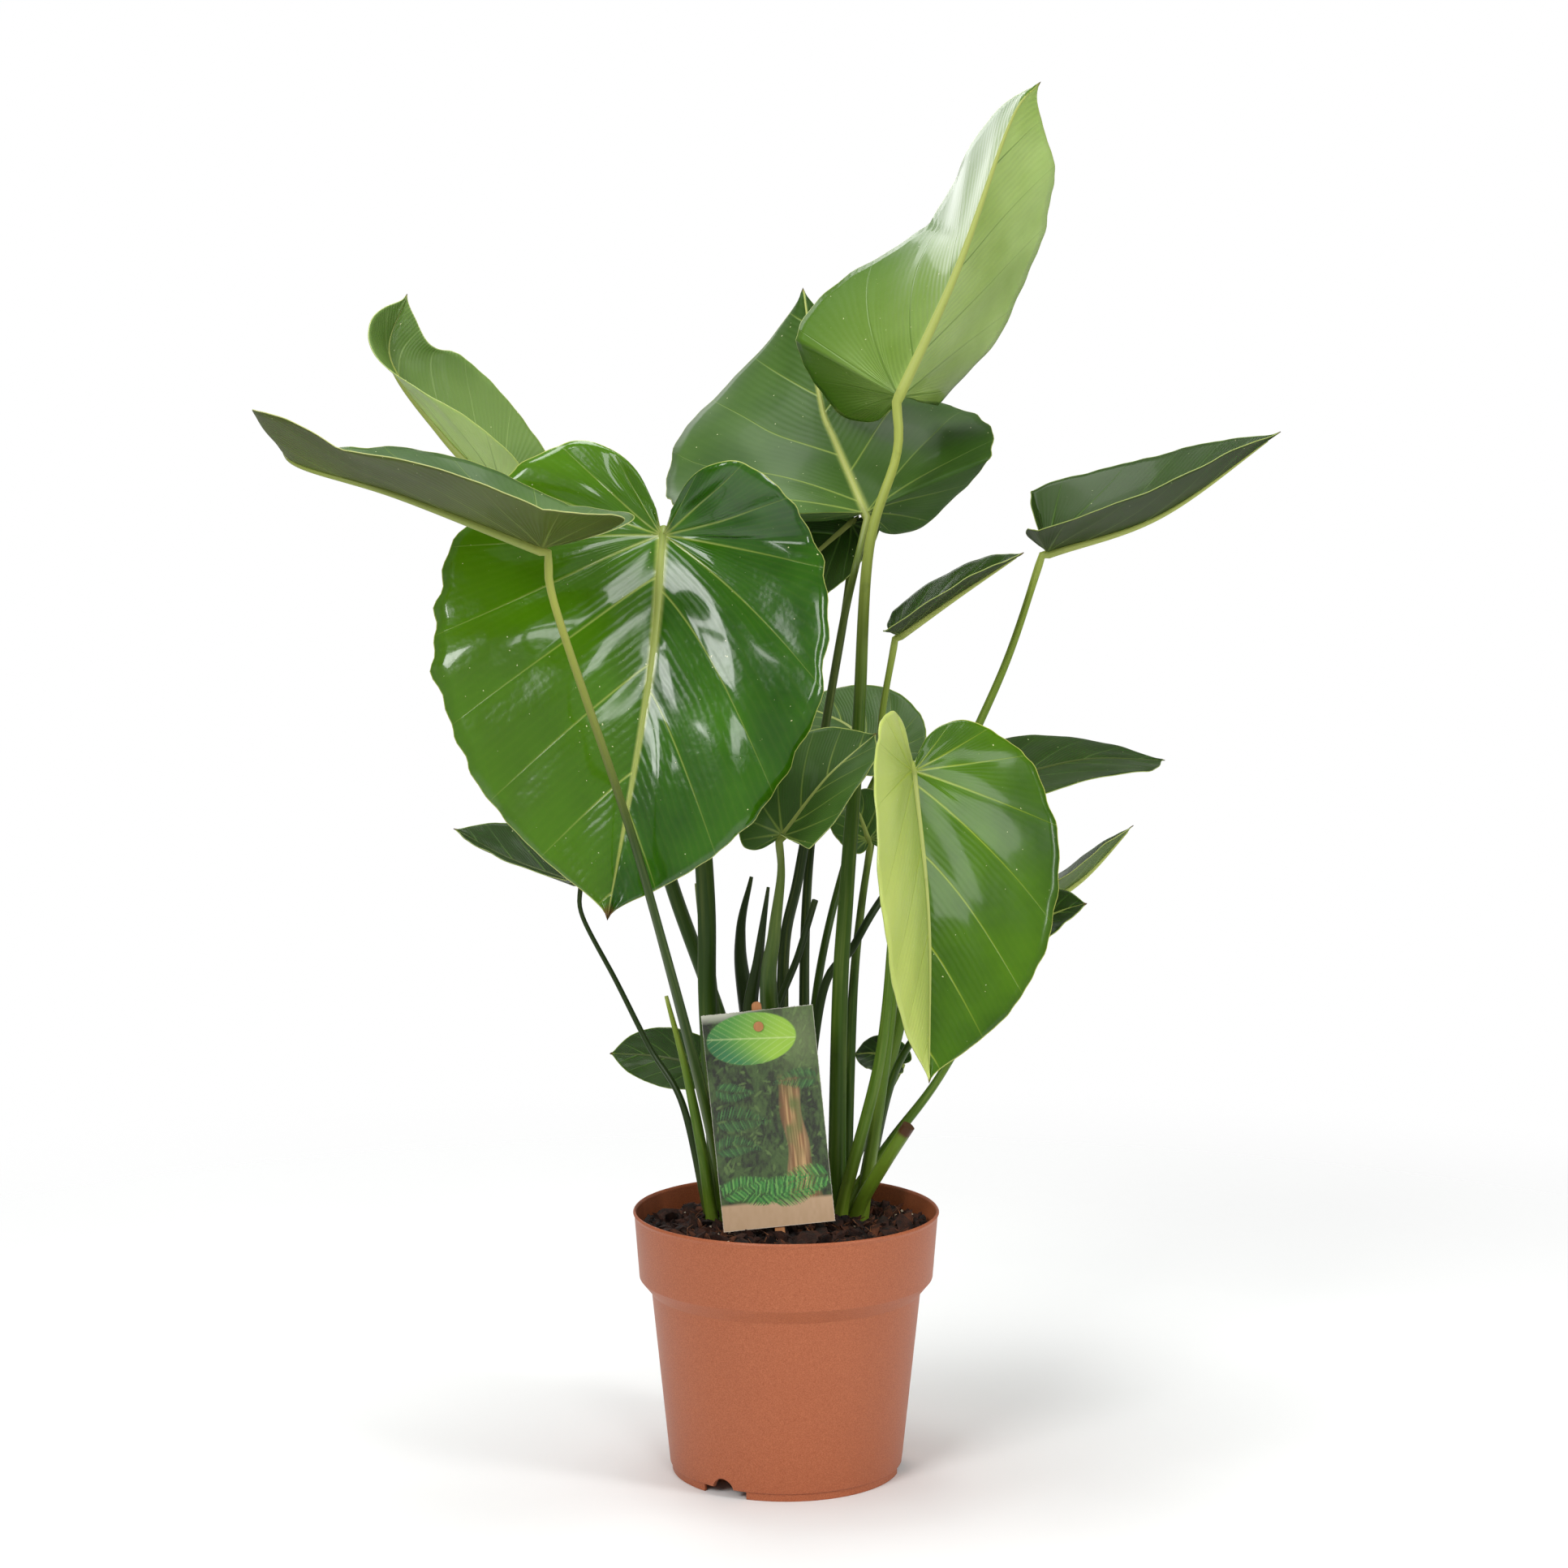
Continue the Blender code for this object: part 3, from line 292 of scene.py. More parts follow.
def mixed(tree, low, high, share):
    """A colour between two, each a colour value or an output, by an output's share."""
    blend = tree.nodes.new("ShaderNodeMix")
    blend.data_type = "RGBA"
    for socket, value in ((blend.inputs[6], low), (blend.inputs[7], high)):
        if isinstance(value, tuple):
            socket.default_value = value
        else:
            tree.links.new(value, socket)
    tree.links.new(share, blend.inputs[0])
    return blend.outputs[2]


def maths(tree, operation, first, second=None, third=None):
    """A Math node's output; each term is a number or an output."""
    made = tree.nodes.new("ShaderNodeMath")
    made.operation = operation
    for number, term in enumerate((first, second, third)):
        if term is None:
            continue
        if isinstance(term, (int, float)):
            made.inputs[number].default_value = term
        else:
            tree.links.new(term, made.inputs[number])
    return made.outputs[0]


def falls(tree, value, width):
    """1 at zero, easing to 0 where the value reaches the width."""
    made = node(tree, "ShaderNodeMapRange", {"interpolation_type": "SMOOTHSTEP", "To Min": 1.0, "To Max": 0.0},
                {"Value": value})
    if isinstance(width, (int, float)):
        made.inputs["From Max"].default_value = width
    else:
        tree.links.new(width, made.inputs["From Max"])
    return made.outputs[0]


def attribute(tree, name):
    return node(tree, "ShaderNodeAttribute", {"attribute_name": name}).outputs["Fac"]


def object_noise(tree, scale, detail=2.0, rough=0.5):
    """Noise that stays on the piece, its scale counted per metre."""
    place = node(tree, "ShaderNodeTexCoord").outputs["Object"]
    made = node(tree, "ShaderNodeTexNoise", {"Scale": scale, "Detail": detail, "Roughness": rough}, {"Vector": place})
    return made.outputs["Fac"]


# --- finishes -------------------------------------------------------------------------------

LeafFinish = namedtuple("LeafFinish", "deep light vein margin rough coat fine pale left", defaults=(0.0, "#6c9808"))

# The waxy upper side and the duller underside of a leaf, from new growth to old. Pale is how far the left half goes
# towards the last colour, most at its margin:
# painted light and shade on that half, a painted sheen where the last colour is paler and painted shade where it is
# darker.
LEAF_FINISHES = {
    "waxy_old": LeafFinish("#1c4600", "#356800", "#98a94a", "#b9c26a", 0.24, 0.95, 0.34, 0.4, "#5d8804"),
    "waxy_dark": LeafFinish("#1d3402", "#2b4506", "#54752a", "#8aa04e", 0.46, 0.08, 0.2),
    "waxy_grey": LeafFinish("#2f4f12", "#446422", "#8a9e48", "#a9b562", 0.50, 0.04, 0.2),
    "waxy_new": LeafFinish("#2e5200", "#4c7600", "#a2b43c", "#c3ca68", 0.32, 0.36, 0.20, 1.0, "#bfce6c"),
    "under_olive": LeafFinish("#465018", "#556220", "#7c8a40", "#b9be7a", 0.50, 0.05, 0.5),
    "under_new": LeafFinish("#92ae52", "#b2cc7a", "#5c7c26", "#a9b966", 0.38, 0.30, 0.35, 0.9, "#4a6e14"),
    "under_dull": LeafFinish("#3f5418", "#506828", "#7f944c", "#a5b068", 0.52, 0.04, 0.3),
    "under_dark": LeafFinish("#28380c", "#354612", "#65783c", "#97a45c", 0.50, 0.05, 0.25),
    "under_pale": LeafFinish("#4f6c28", "#66803e", "#8ba25e", "#b4be7c", 0.50, 0.06, 0.4),
}


def leaf_finish(name):
    """A living leaf: waxy skin over green tissue, paler along midrib, veins and margin, with painted light and shade on
    its left half.
    """
    look = LEAF_FINISHES[name]
    made, tree = new_finish(f"leaf_{name}")
    rib = falls(tree, maths(tree, "DIVIDE", attribute(tree, "rib_mm"), attribute(tree, "rib_width")), 1.0)
    phase = attribute(tree, "vein_phase")
    step = attribute(tree, "step")
    off = maths(tree, "ABSOLUTE", maths(tree, "SUBTRACT", maths(tree, "FRACT", maths(tree, "ADD", phase, 0.5)), 0.5))
    away = maths(tree, "MULTIPLY", off, attribute(tree, "vein_gap"))
    width = maths(tree, "MULTIPLY_ADD", step, -1.1, 1.6)
    vein = maths(tree, "MULTIPLY", falls(tree, away, width), maths(tree, "MULTIPLY_ADD", step, -0.75, 0.9))
    wander = object_noise(tree, 55.0, 3.0)
    threads = maths(tree, "SINE", maths(tree, "MULTIPLY_ADD", phase, 2 * math.pi * 9, maths(tree, "MULTIPLY", wander, 5.0)))
    thread_share = maths(tree, "MULTIPLY_ADD", threads, 0.5, 0.5)
    thread_tint = maths(tree, "MULTIPLY", maths(tree, "POWER", thread_share, 3.0), 0.07 * look.fine)
    edge = falls(tree, attribute(tree, "edge_mm"), 0.8)
    specks = node(tree, "ShaderNodeMapRange", {"From Min": 0.79, "From Max": 0.81}, {"Value": object_noise(tree, 520.0, 1.0)})
    patches = node(tree, "ShaderNodeMapRange", {"From Min": 0.36, "From Max": 0.66}, {"Value": object_noise(tree, 14.0, 4.0)})
    tissue = mixed(tree, linear(look.deep), linear(look.light), patches.outputs[0])
    near_vein = maths(tree, "MULTIPLY", falls(tree, away, 7.0), 0.16)
    tissue = mixed(tree, tissue, linear(look.light), near_vein)
    tissue = mixed(tree, tissue, linear(look.vein), thread_tint)
    # Painted light and shade: the left half is drawn towards the finish's last colour. This is a painted sheen on the
    # paler finishes and painted shade on the darker ones, most at the margin.
    paler = maths(tree, "MULTIPLY", attribute(tree, "left_half"), look.pale)
    paler = maths(tree, "MULTIPLY", paler, maths(tree, "MULTIPLY_ADD", step, 0.6, 0.55))
    tissue = mixed(tree, tissue, linear(look.left), paler)
    tissue = mixed(tree, tissue, linear(look.vein), vein)
    tissue = mixed(tree, tissue, linear(look.margin), rib)
    tissue = mixed(tree, tissue, linear(look.margin), edge)
    tissue = mixed(tree, tissue, linear("#d9dba8"), specks.outputs[0])
    tissue = mixed(tree, tissue, linear("#6b4a22"), attribute(tree, "dry"))
    near_rib = maths(tree, "MULTIPLY_ADD", falls(tree, attribute(tree, "rib_mm"), 70.0), look.fine, look.fine * 0.25)
    height = maths(tree, "MULTIPLY_ADD", thread_share, near_rib, maths(tree, "MULTIPLY", object_noise(tree, 420.0), 0.06))
    height = maths(tree, "SUBTRACT", height, maths(tree, "MULTIPLY", vein, 1.4))
    height = maths(tree, "MULTIPLY_ADD", object_noise(tree, 55.0, 3.0), 3.2 * look.coat, height)
    bump = node(tree, "ShaderNodeBump", {"Strength": 0.5, "Distance": 0.0007}, {"Height": height})
    skin = node(tree, "ShaderNodeBsdfPrincipled",
                {"Roughness": look.rough, "IOR": 1.42, "Specular IOR Level": 0.32, "Coat Weight": look.coat, "Coat Roughness": 0.08, "Coat IOR": 1.4,
                 "Subsurface Weight": 0.06, "Subsurface Scale": 0.003, "Subsurface Radius": (0.5, 1.0, 0.05)},
                {"Base Color": tissue, "Normal": bump.outputs[0]})
    finish_output(tree, skin)
    return made


# keeps: the share of the length where the middle colour gives way to the top one.
StalkFinish = namedtuple("StalkFinish", "foot middle top rib keeps", defaults=(0.32,))

STALK_FINISHES = {
    "dark": StalkFinish("#4f6a1c", "#243a08", "#5c6e26", "#a9b160"),
    "pale_top": StalkFinish("#425a12", "#2a420a", "#a0a64c", "#93a04e"),
    "new": StalkFinish("#486c1a", "#3e5c10", "#a5b050", "#adb860"),
    "fresh": StalkFinish("#6f8826", "#4c6c12", "#7c9030", "#adb860"),
    "mid": StalkFinish("#526e1a", "#304c0c", "#5c7222", "#98a552"),
    "old": StalkFinish("#4a5a16", "#22360a", "#263a0c", "#44541c"),
    "cut": StalkFinish("#74902a", "#648020", "#4f2f14", "#4a2c12", 0.455),
}


def stalk_finish(name):
    """A fleshy green stem: satin skin with fine lengthwise streaks, paler towards the leaf."""
    look = STALK_FINISHES[name]
    made, tree = new_finish(f"stalk_{name}")
    ripe = attribute(tree, "ripeness")
    ramp = node(tree, "ShaderNodeValToRGB", {}, {0: maths(tree, "MULTIPLY", ripe, 0.5)})
    stops = ramp.color_ramp.elements
    stops[0].position, stops[0].color = 0.0, linear(look.foot)
    stops[1].position, stops[1].color = 1.0, linear(look.rib)
    for position, colour in ((0.12, look.middle), (look.keeps, look.middle), (0.47, look.top), (0.53, look.rib)):
        stops.new(position).color = linear(colour)
    around = attribute(tree, "around")
    streaks = node(tree, "ShaderNodeCombineXYZ", {}, {0: maths(tree, "MULTIPLY", around, 12.0),
                                                    1: maths(tree, "MULTIPLY", ripe, 7.0)})
    streak = node(tree, "ShaderNodeTexNoise", {"Scale": 1.0, "Detail": 2.0}, {"Vector": streaks.outputs[0]}).outputs["Fac"]
    light = maths(tree, "MULTIPLY", node(tree, "ShaderNodeMapRange", {"From Min": 0.45, "From Max": 0.75},
                                         {"Value": streak}).outputs[0], 0.18)
    colour = mixed(tree, ramp.outputs[0], linear(look.rib), light)
    spots = maths(tree, "MULTIPLY", node(tree, "ShaderNodeMapRange", {"From Min": 0.62, "From Max": 0.75},
                                         {"Value": object_noise(tree, 110.0, 3.0)}).outputs[0], 0.2)
    colour = mixed(tree, colour, linear("#2c3a14"), spots)
    bump = node(tree, "ShaderNodeBump", {"Strength": 0.2, "Distance": 0.0004}, {"Height": streak})
    skin = node(tree, "ShaderNodeBsdfPrincipled",
                {"Roughness": 0.42, "IOR": 1.42, "Specular IOR Level": 0.35, "Coat Weight": 0.08, "Coat Roughness": 0.3},
                {"Base Color": colour, "Normal": bump.outputs[0]})
    finish_output(tree, skin)
    return made


def pot_finish(dark, light):
    """Moulded polypropylene in terracotta colour: satin, with fine darker and paler specks."""
    made, tree = new_finish("moulded_polypropylene_terracotta")
    specks = node(tree, "ShaderNodeMapRange", {"From Min": 0.35, "From Max": 0.68}, {"Value": object_noise(tree, 1500.0, 2.0)})
    colour = mixed(tree, (*dark, 1), (*light, 1), specks.outputs[0])
    cloud = maths(tree, "MULTIPLY", object_noise(tree, 22.0, 3.0), 0.3)
    colour = mixed(tree, colour, (*dark, 1), cloud)
    bump = node(tree, "ShaderNodeBump", {"Strength": 0.25, "Distance": 0.0002}, {"Height": object_noise(tree, 1100.0, 3.0)})
    skin = node(tree, "ShaderNodeBsdfPrincipled", {"Roughness": 0.46, "IOR": 1.49},
                {"Base Color": colour, "Normal": bump.outputs[0]})
    finish_output(tree, skin)
    return made


def crumb_finish(name, dark, light, rough=0.9):
    """Damp bark and coir: matte, broken in tone from piece to piece."""
    made, tree = new_finish(name)
    tone = node(tree, "ShaderNodeMapRange", {"From Min": 0.38, "From Max": 0.64}, {"Value": object_noise(tree, 160.0, 4.0)})
    colour = mixed(tree, linear(dark), linear(light), tone.outputs[0])
    bump = node(tree, "ShaderNodeBump", {"Strength": 0.8, "Distance": 0.001}, {"Height": object_noise(tree, 900.0, 4.0)})
    skin = node(tree, "ShaderNodeBsdfPrincipled", {"Roughness": rough, "IOR": 1.45},
                {"Base Color": colour, "Normal": bump.outputs[0]})
    finish_output(tree, skin)
    return made


def wood_finish():
    """Planed softwood: fine straight grain along its length."""
    made, tree = new_finish("planed_softwood")
    place = node(tree, "ShaderNodeTexCoord").outputs["Object"]
    long = node(tree, "ShaderNodeMapping", {"Scale": (900.0, 900.0, 45.0)}, {"Vector": place})
    grain = node(tree, "ShaderNodeTexNoise", {"Scale": 1.0, "Detail": 3.0}, {"Vector": long.outputs[0]}).outputs["Fac"]
    colour = mixed(tree, linear("#a8683c"), linear("#c98e5a"), grain)
    bump = node(tree, "ShaderNodeBump", {"Strength": 0.3, "Distance": 0.0003}, {"Height": grain})
    skin = node(tree, "ShaderNodeBsdfPrincipled", {"Roughness": 0.6}, {"Base Color": colour, "Normal": bump.outputs[0]})
    finish_output(tree, skin)
    return made


def card_finish():
    """Coated card: the print is the piece's own colour attribute under a thin satin varnish."""
    made, tree = new_finish("printed_coated_card")
    print_colour = node(tree, "ShaderNodeAttribute", {"attribute_name": "print"}).outputs["Color"]
    fibre = maths(tree, "MULTIPLY", object_noise(tree, 1400.0, 3.0), 0.12)
    colour = mixed(tree, print_colour, linear("#efe6d6"), maths(tree, "MULTIPLY", fibre, 0.5))
    bump = node(tree, "ShaderNodeBump", {"Strength": 0.2, "Distance": 0.0002}, {"Height": fibre})
    skin = node(tree, "ShaderNodeBsdfPrincipled", {"Roughness": 0.42, "IOR": 1.5},
                {"Base Color": colour, "Normal": bump.outputs[0]})
    finish_output(tree, skin)
    return made


# --- shapes ---------------------------------------------------------------------------------

def smooth_path(points, count):
    """A smooth curve through the points, as count points evenly spaced along it."""
    fixed = np.array(points, dtype=float)
    ends = np.vstack([2 * fixed[0] - fixed[1], fixed, 2 * fixed[-1] - fixed[-2]])
    steps = np.linspace(0, 1, 24, endpoint=False)[:, None]
    fine = []
    for p0, p1, p2, p3 in zip(ends, ends[1:], ends[2:], ends[3:]):
        fine.append(0.5 * (2 * p1 + (p2 - p0) * steps + (2 * p0 - 5 * p1 + 4 * p2 - p3) * steps**2
                           + (3 * p1 - p0 - 3 * p2 + p3) * steps**3))
    fine = np.vstack([*fine, fixed[-1:]])
    along = np.concatenate([[0], np.cumsum(np.linalg.norm(np.diff(fine, axis=0), axis=1))])
    wanted = np.linspace(0, along[-1], count)
    return np.column_stack([np.interp(wanted, along, fine[:, axis]) for axis in range(fixed.shape[1])])


def unit(vectors):
    return vectors / np.maximum(np.linalg.norm(vectors, axis=-1, keepdims=True), 1e-12)


class Blade:
    """The middle surface of one leaf, as a bent sheet: the same rule that the solid follows."""

    def __init__(self, leaf):
        self.leaf = leaf
        self.spine = smooth_path(leaf.spine, 40)
        self.length = float(np.sum(np.linalg.norm(np.diff(self.spine, axis=0), axis=1)))

    def on_spine(self, at):
        shares = np.linspace(0, 1, len(self.spine))
        return np.stack([np.interp(at, shares, self.spine[:, axis]) for axis in range(3)], axis=-1)

    def frame(self, along):
        """Places, tangents and upper-face directions at shares of the length."""
        at = np.clip(along, 0.0, 1.0)
        tangent = unit(self.on_spine(np.minimum(at + 0.1, 1.0)) - self.on_spine(np.maximum(at - 0.1, 0.0)))
        first, last = (unit(np.array(face)) for face in self.leaf.face)
        face = first * (1 - at[..., None]) + last * at[..., None]
        face = unit(face - tangent * np.sum(face * tangent, axis=-1, keepdims=True))
        return self.on_spine(at), tangent, face

    def points(self, side, across, along):
        """Points of the sheet: side is -1 or 1, across and along are shares of half-width and length."""
        place, tangent, face = self.frame(along)
        which = 0 if side < 0 else 1
        outward = np.cross(face, tangent) * side
        reach = across * self.leaf.half[which]
        at = np.clip(along, 0.0, 1.0)
        fold = np.radians(np.interp(at, (0, 0.5, 1), self.leaf.fold[which]))
        curl = np.radians(np.interp(at, (0, 0.5, 1), self.leaf.curl[which])) * across
        bends = [fold + curl * (step + 0.5) / 6 for step in range(6)]
        flat = sum(np.cos(bend) for bend in bends) / 6 * reach
        rise = sum(np.sin(bend) for bend in bends) / 6 * reach
        spot = place + outward * flat[..., None] + face * rise[..., None]
        lobe = math.radians(self.leaf.lobes[which])
        back = -tangent * math.cos(lobe) + face * math.sin(lobe)
        return spot + back * np.maximum(-along, 0.0)[..., None] * self.length * self.leaf.lobe_size


def sheet_normals(grid):
    """Unit normals of a grid of points, one for each point."""
    across = np.gradient(grid, axis=1)
    along = np.gradient(grid, axis=0)
    return unit(np.cross(across, along))


def new_object(name, mesh):
    made = bpy.data.objects.new(name, mesh)
    bpy.context.collection.objects.link(made)
    return made


def mesh_object(name, bm):
    """A new object from a bmesh, which is freed."""
    mesh = bpy.data.meshes.new(name)
    bm.to_mesh(mesh)
    bm.free()
    return new_object(name, mesh)


def discard(obj):
    """Removes a helper object and its mesh."""
    mesh = obj.data
    bpy.data.objects.remove(obj)
    bpy.data.meshes.remove(mesh)


def mark(mesh, name, values):
    """Stores one number for each point of a mesh."""
    mesh.attributes.new(name, "FLOAT", "POINT").data.foreach_set("value", np.array(values, dtype=np.float32))


def settled(obj):
    """The object with its modifiers applied, as a plain mesh of its own."""
    view = bpy.context.evaluated_depsgraph_get()
    mesh = bpy.data.meshes.new_from_object(obj.evaluated_get(view), depsgraph=view)
    obj.modifiers.clear()
    old, obj.data = obj.data, mesh
    mesh.name = obj.name
    if old.users == 0 and isinstance(old, bpy.types.Mesh):
        bpy.data.meshes.remove(old)
    return obj


def new_tree(name, sockets):
    """A Geometry Nodes tree with these named inputs, and the outputs that give their values inside it."""
    tree = bpy.data.node_groups.new(name, "GeometryNodeTree")
    tree.interface.new_socket("Geometry", in_out="INPUT", socket_type="NodeSocketGeometry")
    for label, kind, value in sockets:
        made = tree.interface.new_socket(label, in_out="INPUT", socket_type="NodeSocket" + kind)
        if value is not None:
            made.default_value = value
    tree.interface.new_socket("Geometry", in_out="OUTPUT", socket_type="NodeSocketGeometry")
    return tree, tree.nodes.new("NodeGroupInput").outputs


def finish_tree(tree, geometry, finish):
    """Ends a tree: its copies become plain mesh and take their finish."""
    real = node(tree, "GeometryNodeRealizeInstances", {}, {0: geometry})
    done = node(tree, "GeometryNodeSetMaterial", {}, {"Geometry": real.outputs[0], "Material": finish})
    tree.links.new(done.outputs[0], tree.nodes.new("NodeGroupOutput").inputs[0])


def run_tree(obj, tree, values):
    """Runs a tree on an object, its inputs set by their shown names, and keeps the result as a plain mesh."""
    modifier = obj.modifiers.new(tree.name, "NODES")
    modifier.node_group = tree
    for item in tree.interface.items_tree:
        if item.in_out == "INPUT" and item.name in values:
            modifier[item.identifier] = values[item.name]
    obj.update_tag()
    return settled(obj)


def kept(obj, *nodes, slot=None):
    """Hands a finished piece to the frame: it rides on the plant and stands for these nodes."""
    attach(obj, "root")
    if nodes:
        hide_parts(*nodes)
    return obj


# --- leaves ---------------------------------------------------------------------------------

def rib_start(share):
    """Where along the midrib the vein to this share of the outline starts."""
    return np.maximum(0.0, (share - FAN) / (1 - FAN)) ** RIB_SPREAD


def leaf_grid(leaf, sizes):
    """Both halves of a leaf as grids of points, with what the finish needs to know of each point."""
    blade = Blade(leaf)
    rng = np.random.default_rng(SEED + int(leaf.name[5:7]))
    rows, columns = sizes.rows, sizes.columns
    margin = smooth_path(HEART, rows)
    share = np.linspace(0, 1, rows)[:, None]
    start = rib_start(share)
    step = (np.linspace(0, 1, columns + 1)[None, :]) ** 1.35
    dry_tip = OLD_DRY_TIP if leaf.upper == "waxy_old" else DRY_TIP
    halves = []
    for side in (-1, 1):
        half = leaf.half[0 if side < 0 else 1]
        nibble = sum(np.sin(2 * np.pi * (count * share + rng.uniform())) for count in (7, 13, 23)) * np.sin(np.pi * share)
        across = margin[:, :1] * step * (1 + sizes.raggedness * leaf.wave * nibble * step**4)
        along = start + (margin[:, 1:] - start) * step ** sizes.vein_sweep
        spots = blade.points(side, across, along)
        normals = sheet_normals(spots) * (-side)
        count = sizes.veins + rng.uniform(-0.6, 0.6)
        phase = count * share ** 0.9 + rng.uniform(0, 1)
        spacing = np.linalg.norm(np.gradient(spots, axis=0), axis=-1) * (rows - 1)
        gap = spacing / count * 1000
        puff = 0.5 - np.abs(((phase + 0.5) % 1.0) - 0.5)
        hump = np.sin(np.pi * np.clip(0.5 - puff, 0, 0.5)) * step**0.6 * (1 - step) ** 0.5
        hump = hump * np.clip(gap / 18, 0, 1)
        wave = (np.sin(2 * np.pi * (share * sizes.waves + rng.uniform()))
                + 0.6 * np.sin(2 * np.pi * (share * 2.3 * sizes.waves + rng.uniform())))
        lift = (sizes.quilting * hump * leaf.puff
                + sizes.waviness * leaf.wave * wave * step**3 * np.sin(np.pi * np.clip(share * 1.04, 0, 1)))
        swell = (np.sin(2 * np.pi * (2.1 * share + 0.7 * step + rng.uniform()))
                 + np.sin(2 * np.pi * (3.7 * share - 1.1 * step + rng.uniform())) * 0.6)
        lift = lift + sizes.swell * leaf.puff * swell * step * (1.2 - step)
        spots = spots + normals * lift[..., None]
        edge = np.linalg.norm(spots - spots[:, -1:], axis=-1) * 1000
        rib = across * half * 1000 + np.zeros_like(along)
        dry = np.clip(2 * (1 - np.linalg.norm(spots - spots[-1, -1], axis=-1) / dry_tip), 0, 1)
        width = leaf.rib * (1 - np.clip(along, 0, 1)) ** 0.8 + 0.35
        # The left half's mark, from the midrib out, carries the painted light and shade that the finish lays on that
        # half.
        halves.append({"spots": spots, "rib_mm": rib, "rib_width": width, "edge_mm": edge,
                       "vein_phase": phase + np.zeros_like(along), "vein_gap": gap,
                       "step": step + np.zeros_like(along), "dry": dry,
                       "left_half": (side < 0) * np.clip(step * 12, 0, 1) + np.zeros_like(along)})
    return halves


def leaf_mesh(leaf, sizes):
    """One leaf as a sheet whose halves share the midrib, its upper side outwards."""
    halves = leaf_grid(leaf, sizes)
    rows, columns = halves[0]["spots"].shape[:2]
    lift = np.array([0, 0, SOIL_TOP])
    verts, faces = [], []
    facts = {key: [] for key in ("rib_mm", "rib_width", "edge_mm", "vein_phase", "vein_gap", "step", "left_half", "dry")}
    starts = rib_start(np.linspace(0, 1, rows))
    rib_of_row, known = [], {}
    for row in range(rows):
        key = round(float(starts[row]), 9)
        if key not in known:
            known[key] = len(verts)
            verts.append(halves[1]["spots"][row, 0] + lift)
            for fact in facts:
                facts[fact].append(float(halves[1][fact][row, 0]))
        rib_of_row.append(known[key])
    lines = {}
    for number, half in enumerate(halves):
        for row in range(rows - 1):
            for column in range(1, columns):
                lines[number, row, column] = len(verts)
                verts.append(half["spots"][row, column] + lift)
                for fact in facts:
                    facts[fact].append(float(half[fact][row, column]))
        for column in range(1, columns):
            lines[number, rows - 1, column] = rib_of_row[-1]
        for row in range(rows):
            lines[number, row, 0] = rib_of_row[row]
        for row in range(rows - 1):
            for column in range(columns - 1):
                ring = [lines[number, row, column], lines[number, row, column + 1],
                        lines[number, row + 1, column + 1], lines[number, row + 1, column]]
                ring = list(dict.fromkeys(ring))
                if len(ring) > 2:
                    faces.append(ring[::-1] if number else ring)
    mesh = bpy.data.meshes.new(leaf.name)
    mesh.from_pydata([tuple(v) for v in verts], [], faces)
    for fact, values in facts.items():
        mark(mesh, fact, values)
    mesh.shade_smooth()
    return mesh


def make_leaf(leaf, sizes, finishes):
    """A leaf blade: its upper side in one finish, its underside and rim in another."""
    mesh = leaf_mesh(leaf, sizes)
    mesh.materials.append(finishes[leaf.upper])
    mesh.materials.append(finishes[leaf.under])
    made = new_object(leaf.name + "_blade", mesh)
    wall = made.modifiers.new("Blade thickness", "SOLIDIFY")
    wall.thickness = sizes.thickness
    wall.offset = -1
    wall.material_offset = 1
    wall.material_offset_rim = 1
    return kept(settled(made), leaf.name, slot="leaf_green")


# --- stalks ---------------------------------------------------------------------------------

def sweep_tree():
    """Sweeps a ridged round section along a line of points that carry their own girth."""
    tree, inputs = new_tree("Stalk sweep", (("Sides", "Int", 20), ("Ridges", "Int", 5), ("Ridge depth", "Float", 0.05),
                                            ("Finish", "Material", None)))
    line = node(tree, "GeometryNodeMeshToCurve", {}, {"Mesh": inputs["Geometry"]})
    girth = node(tree, "GeometryNodeInputNamedAttribute", {"data_type": "FLOAT", "Name": "girth"})
    sized = node(tree, "GeometryNodeSetCurveRadius", {}, {"Curve": line.outputs[0], "Radius": girth.outputs[0]})
    ring = node(tree, "GeometryNodeCurvePrimitiveCircle", {"Radius": 1.0}, {"Resolution": inputs["Sides"]})
    share = node(tree, "GeometryNodeSplineParameter")
    marked = node(tree, "GeometryNodeStoreNamedAttribute", {"data_type": "FLOAT", "domain": "POINT", "Name": "around"},
                  {"Geometry": ring.outputs[0], "Value": share.outputs[0]})
    turns = maths(tree, "MULTIPLY", share.outputs[0], inputs["Ridges"])
    swell = maths(tree, "MULTIPLY", maths(tree, "COSINE", maths(tree, "MULTIPLY", turns, 2 * math.pi)),
                  inputs["Ridge depth"])
    spot = node(tree, "GeometryNodeInputPosition")
    scaled = node(tree, "ShaderNodeVectorMath", {"operation": "SCALE"},
                  {0: spot.outputs[0], "Scale": maths(tree, "ADD", swell, 1.0)})
    ridged = node(tree, "GeometryNodeSetPosition", {}, {"Geometry": marked.outputs[0], "Position": scaled.outputs[0]})
    swept = node(tree, "GeometryNodeCurveToMesh", {"Fill Caps": True},
                 {"Curve": sized.outputs[0], "Profile Curve": ridged.outputs[0], "Scale": girth.outputs[0]})
    smooth = node(tree, "GeometryNodeSetShadeSmooth", {}, {0: swept.outputs[0]})
    finish_tree(tree, smooth.outputs[0], inputs["Finish"])
    return tree


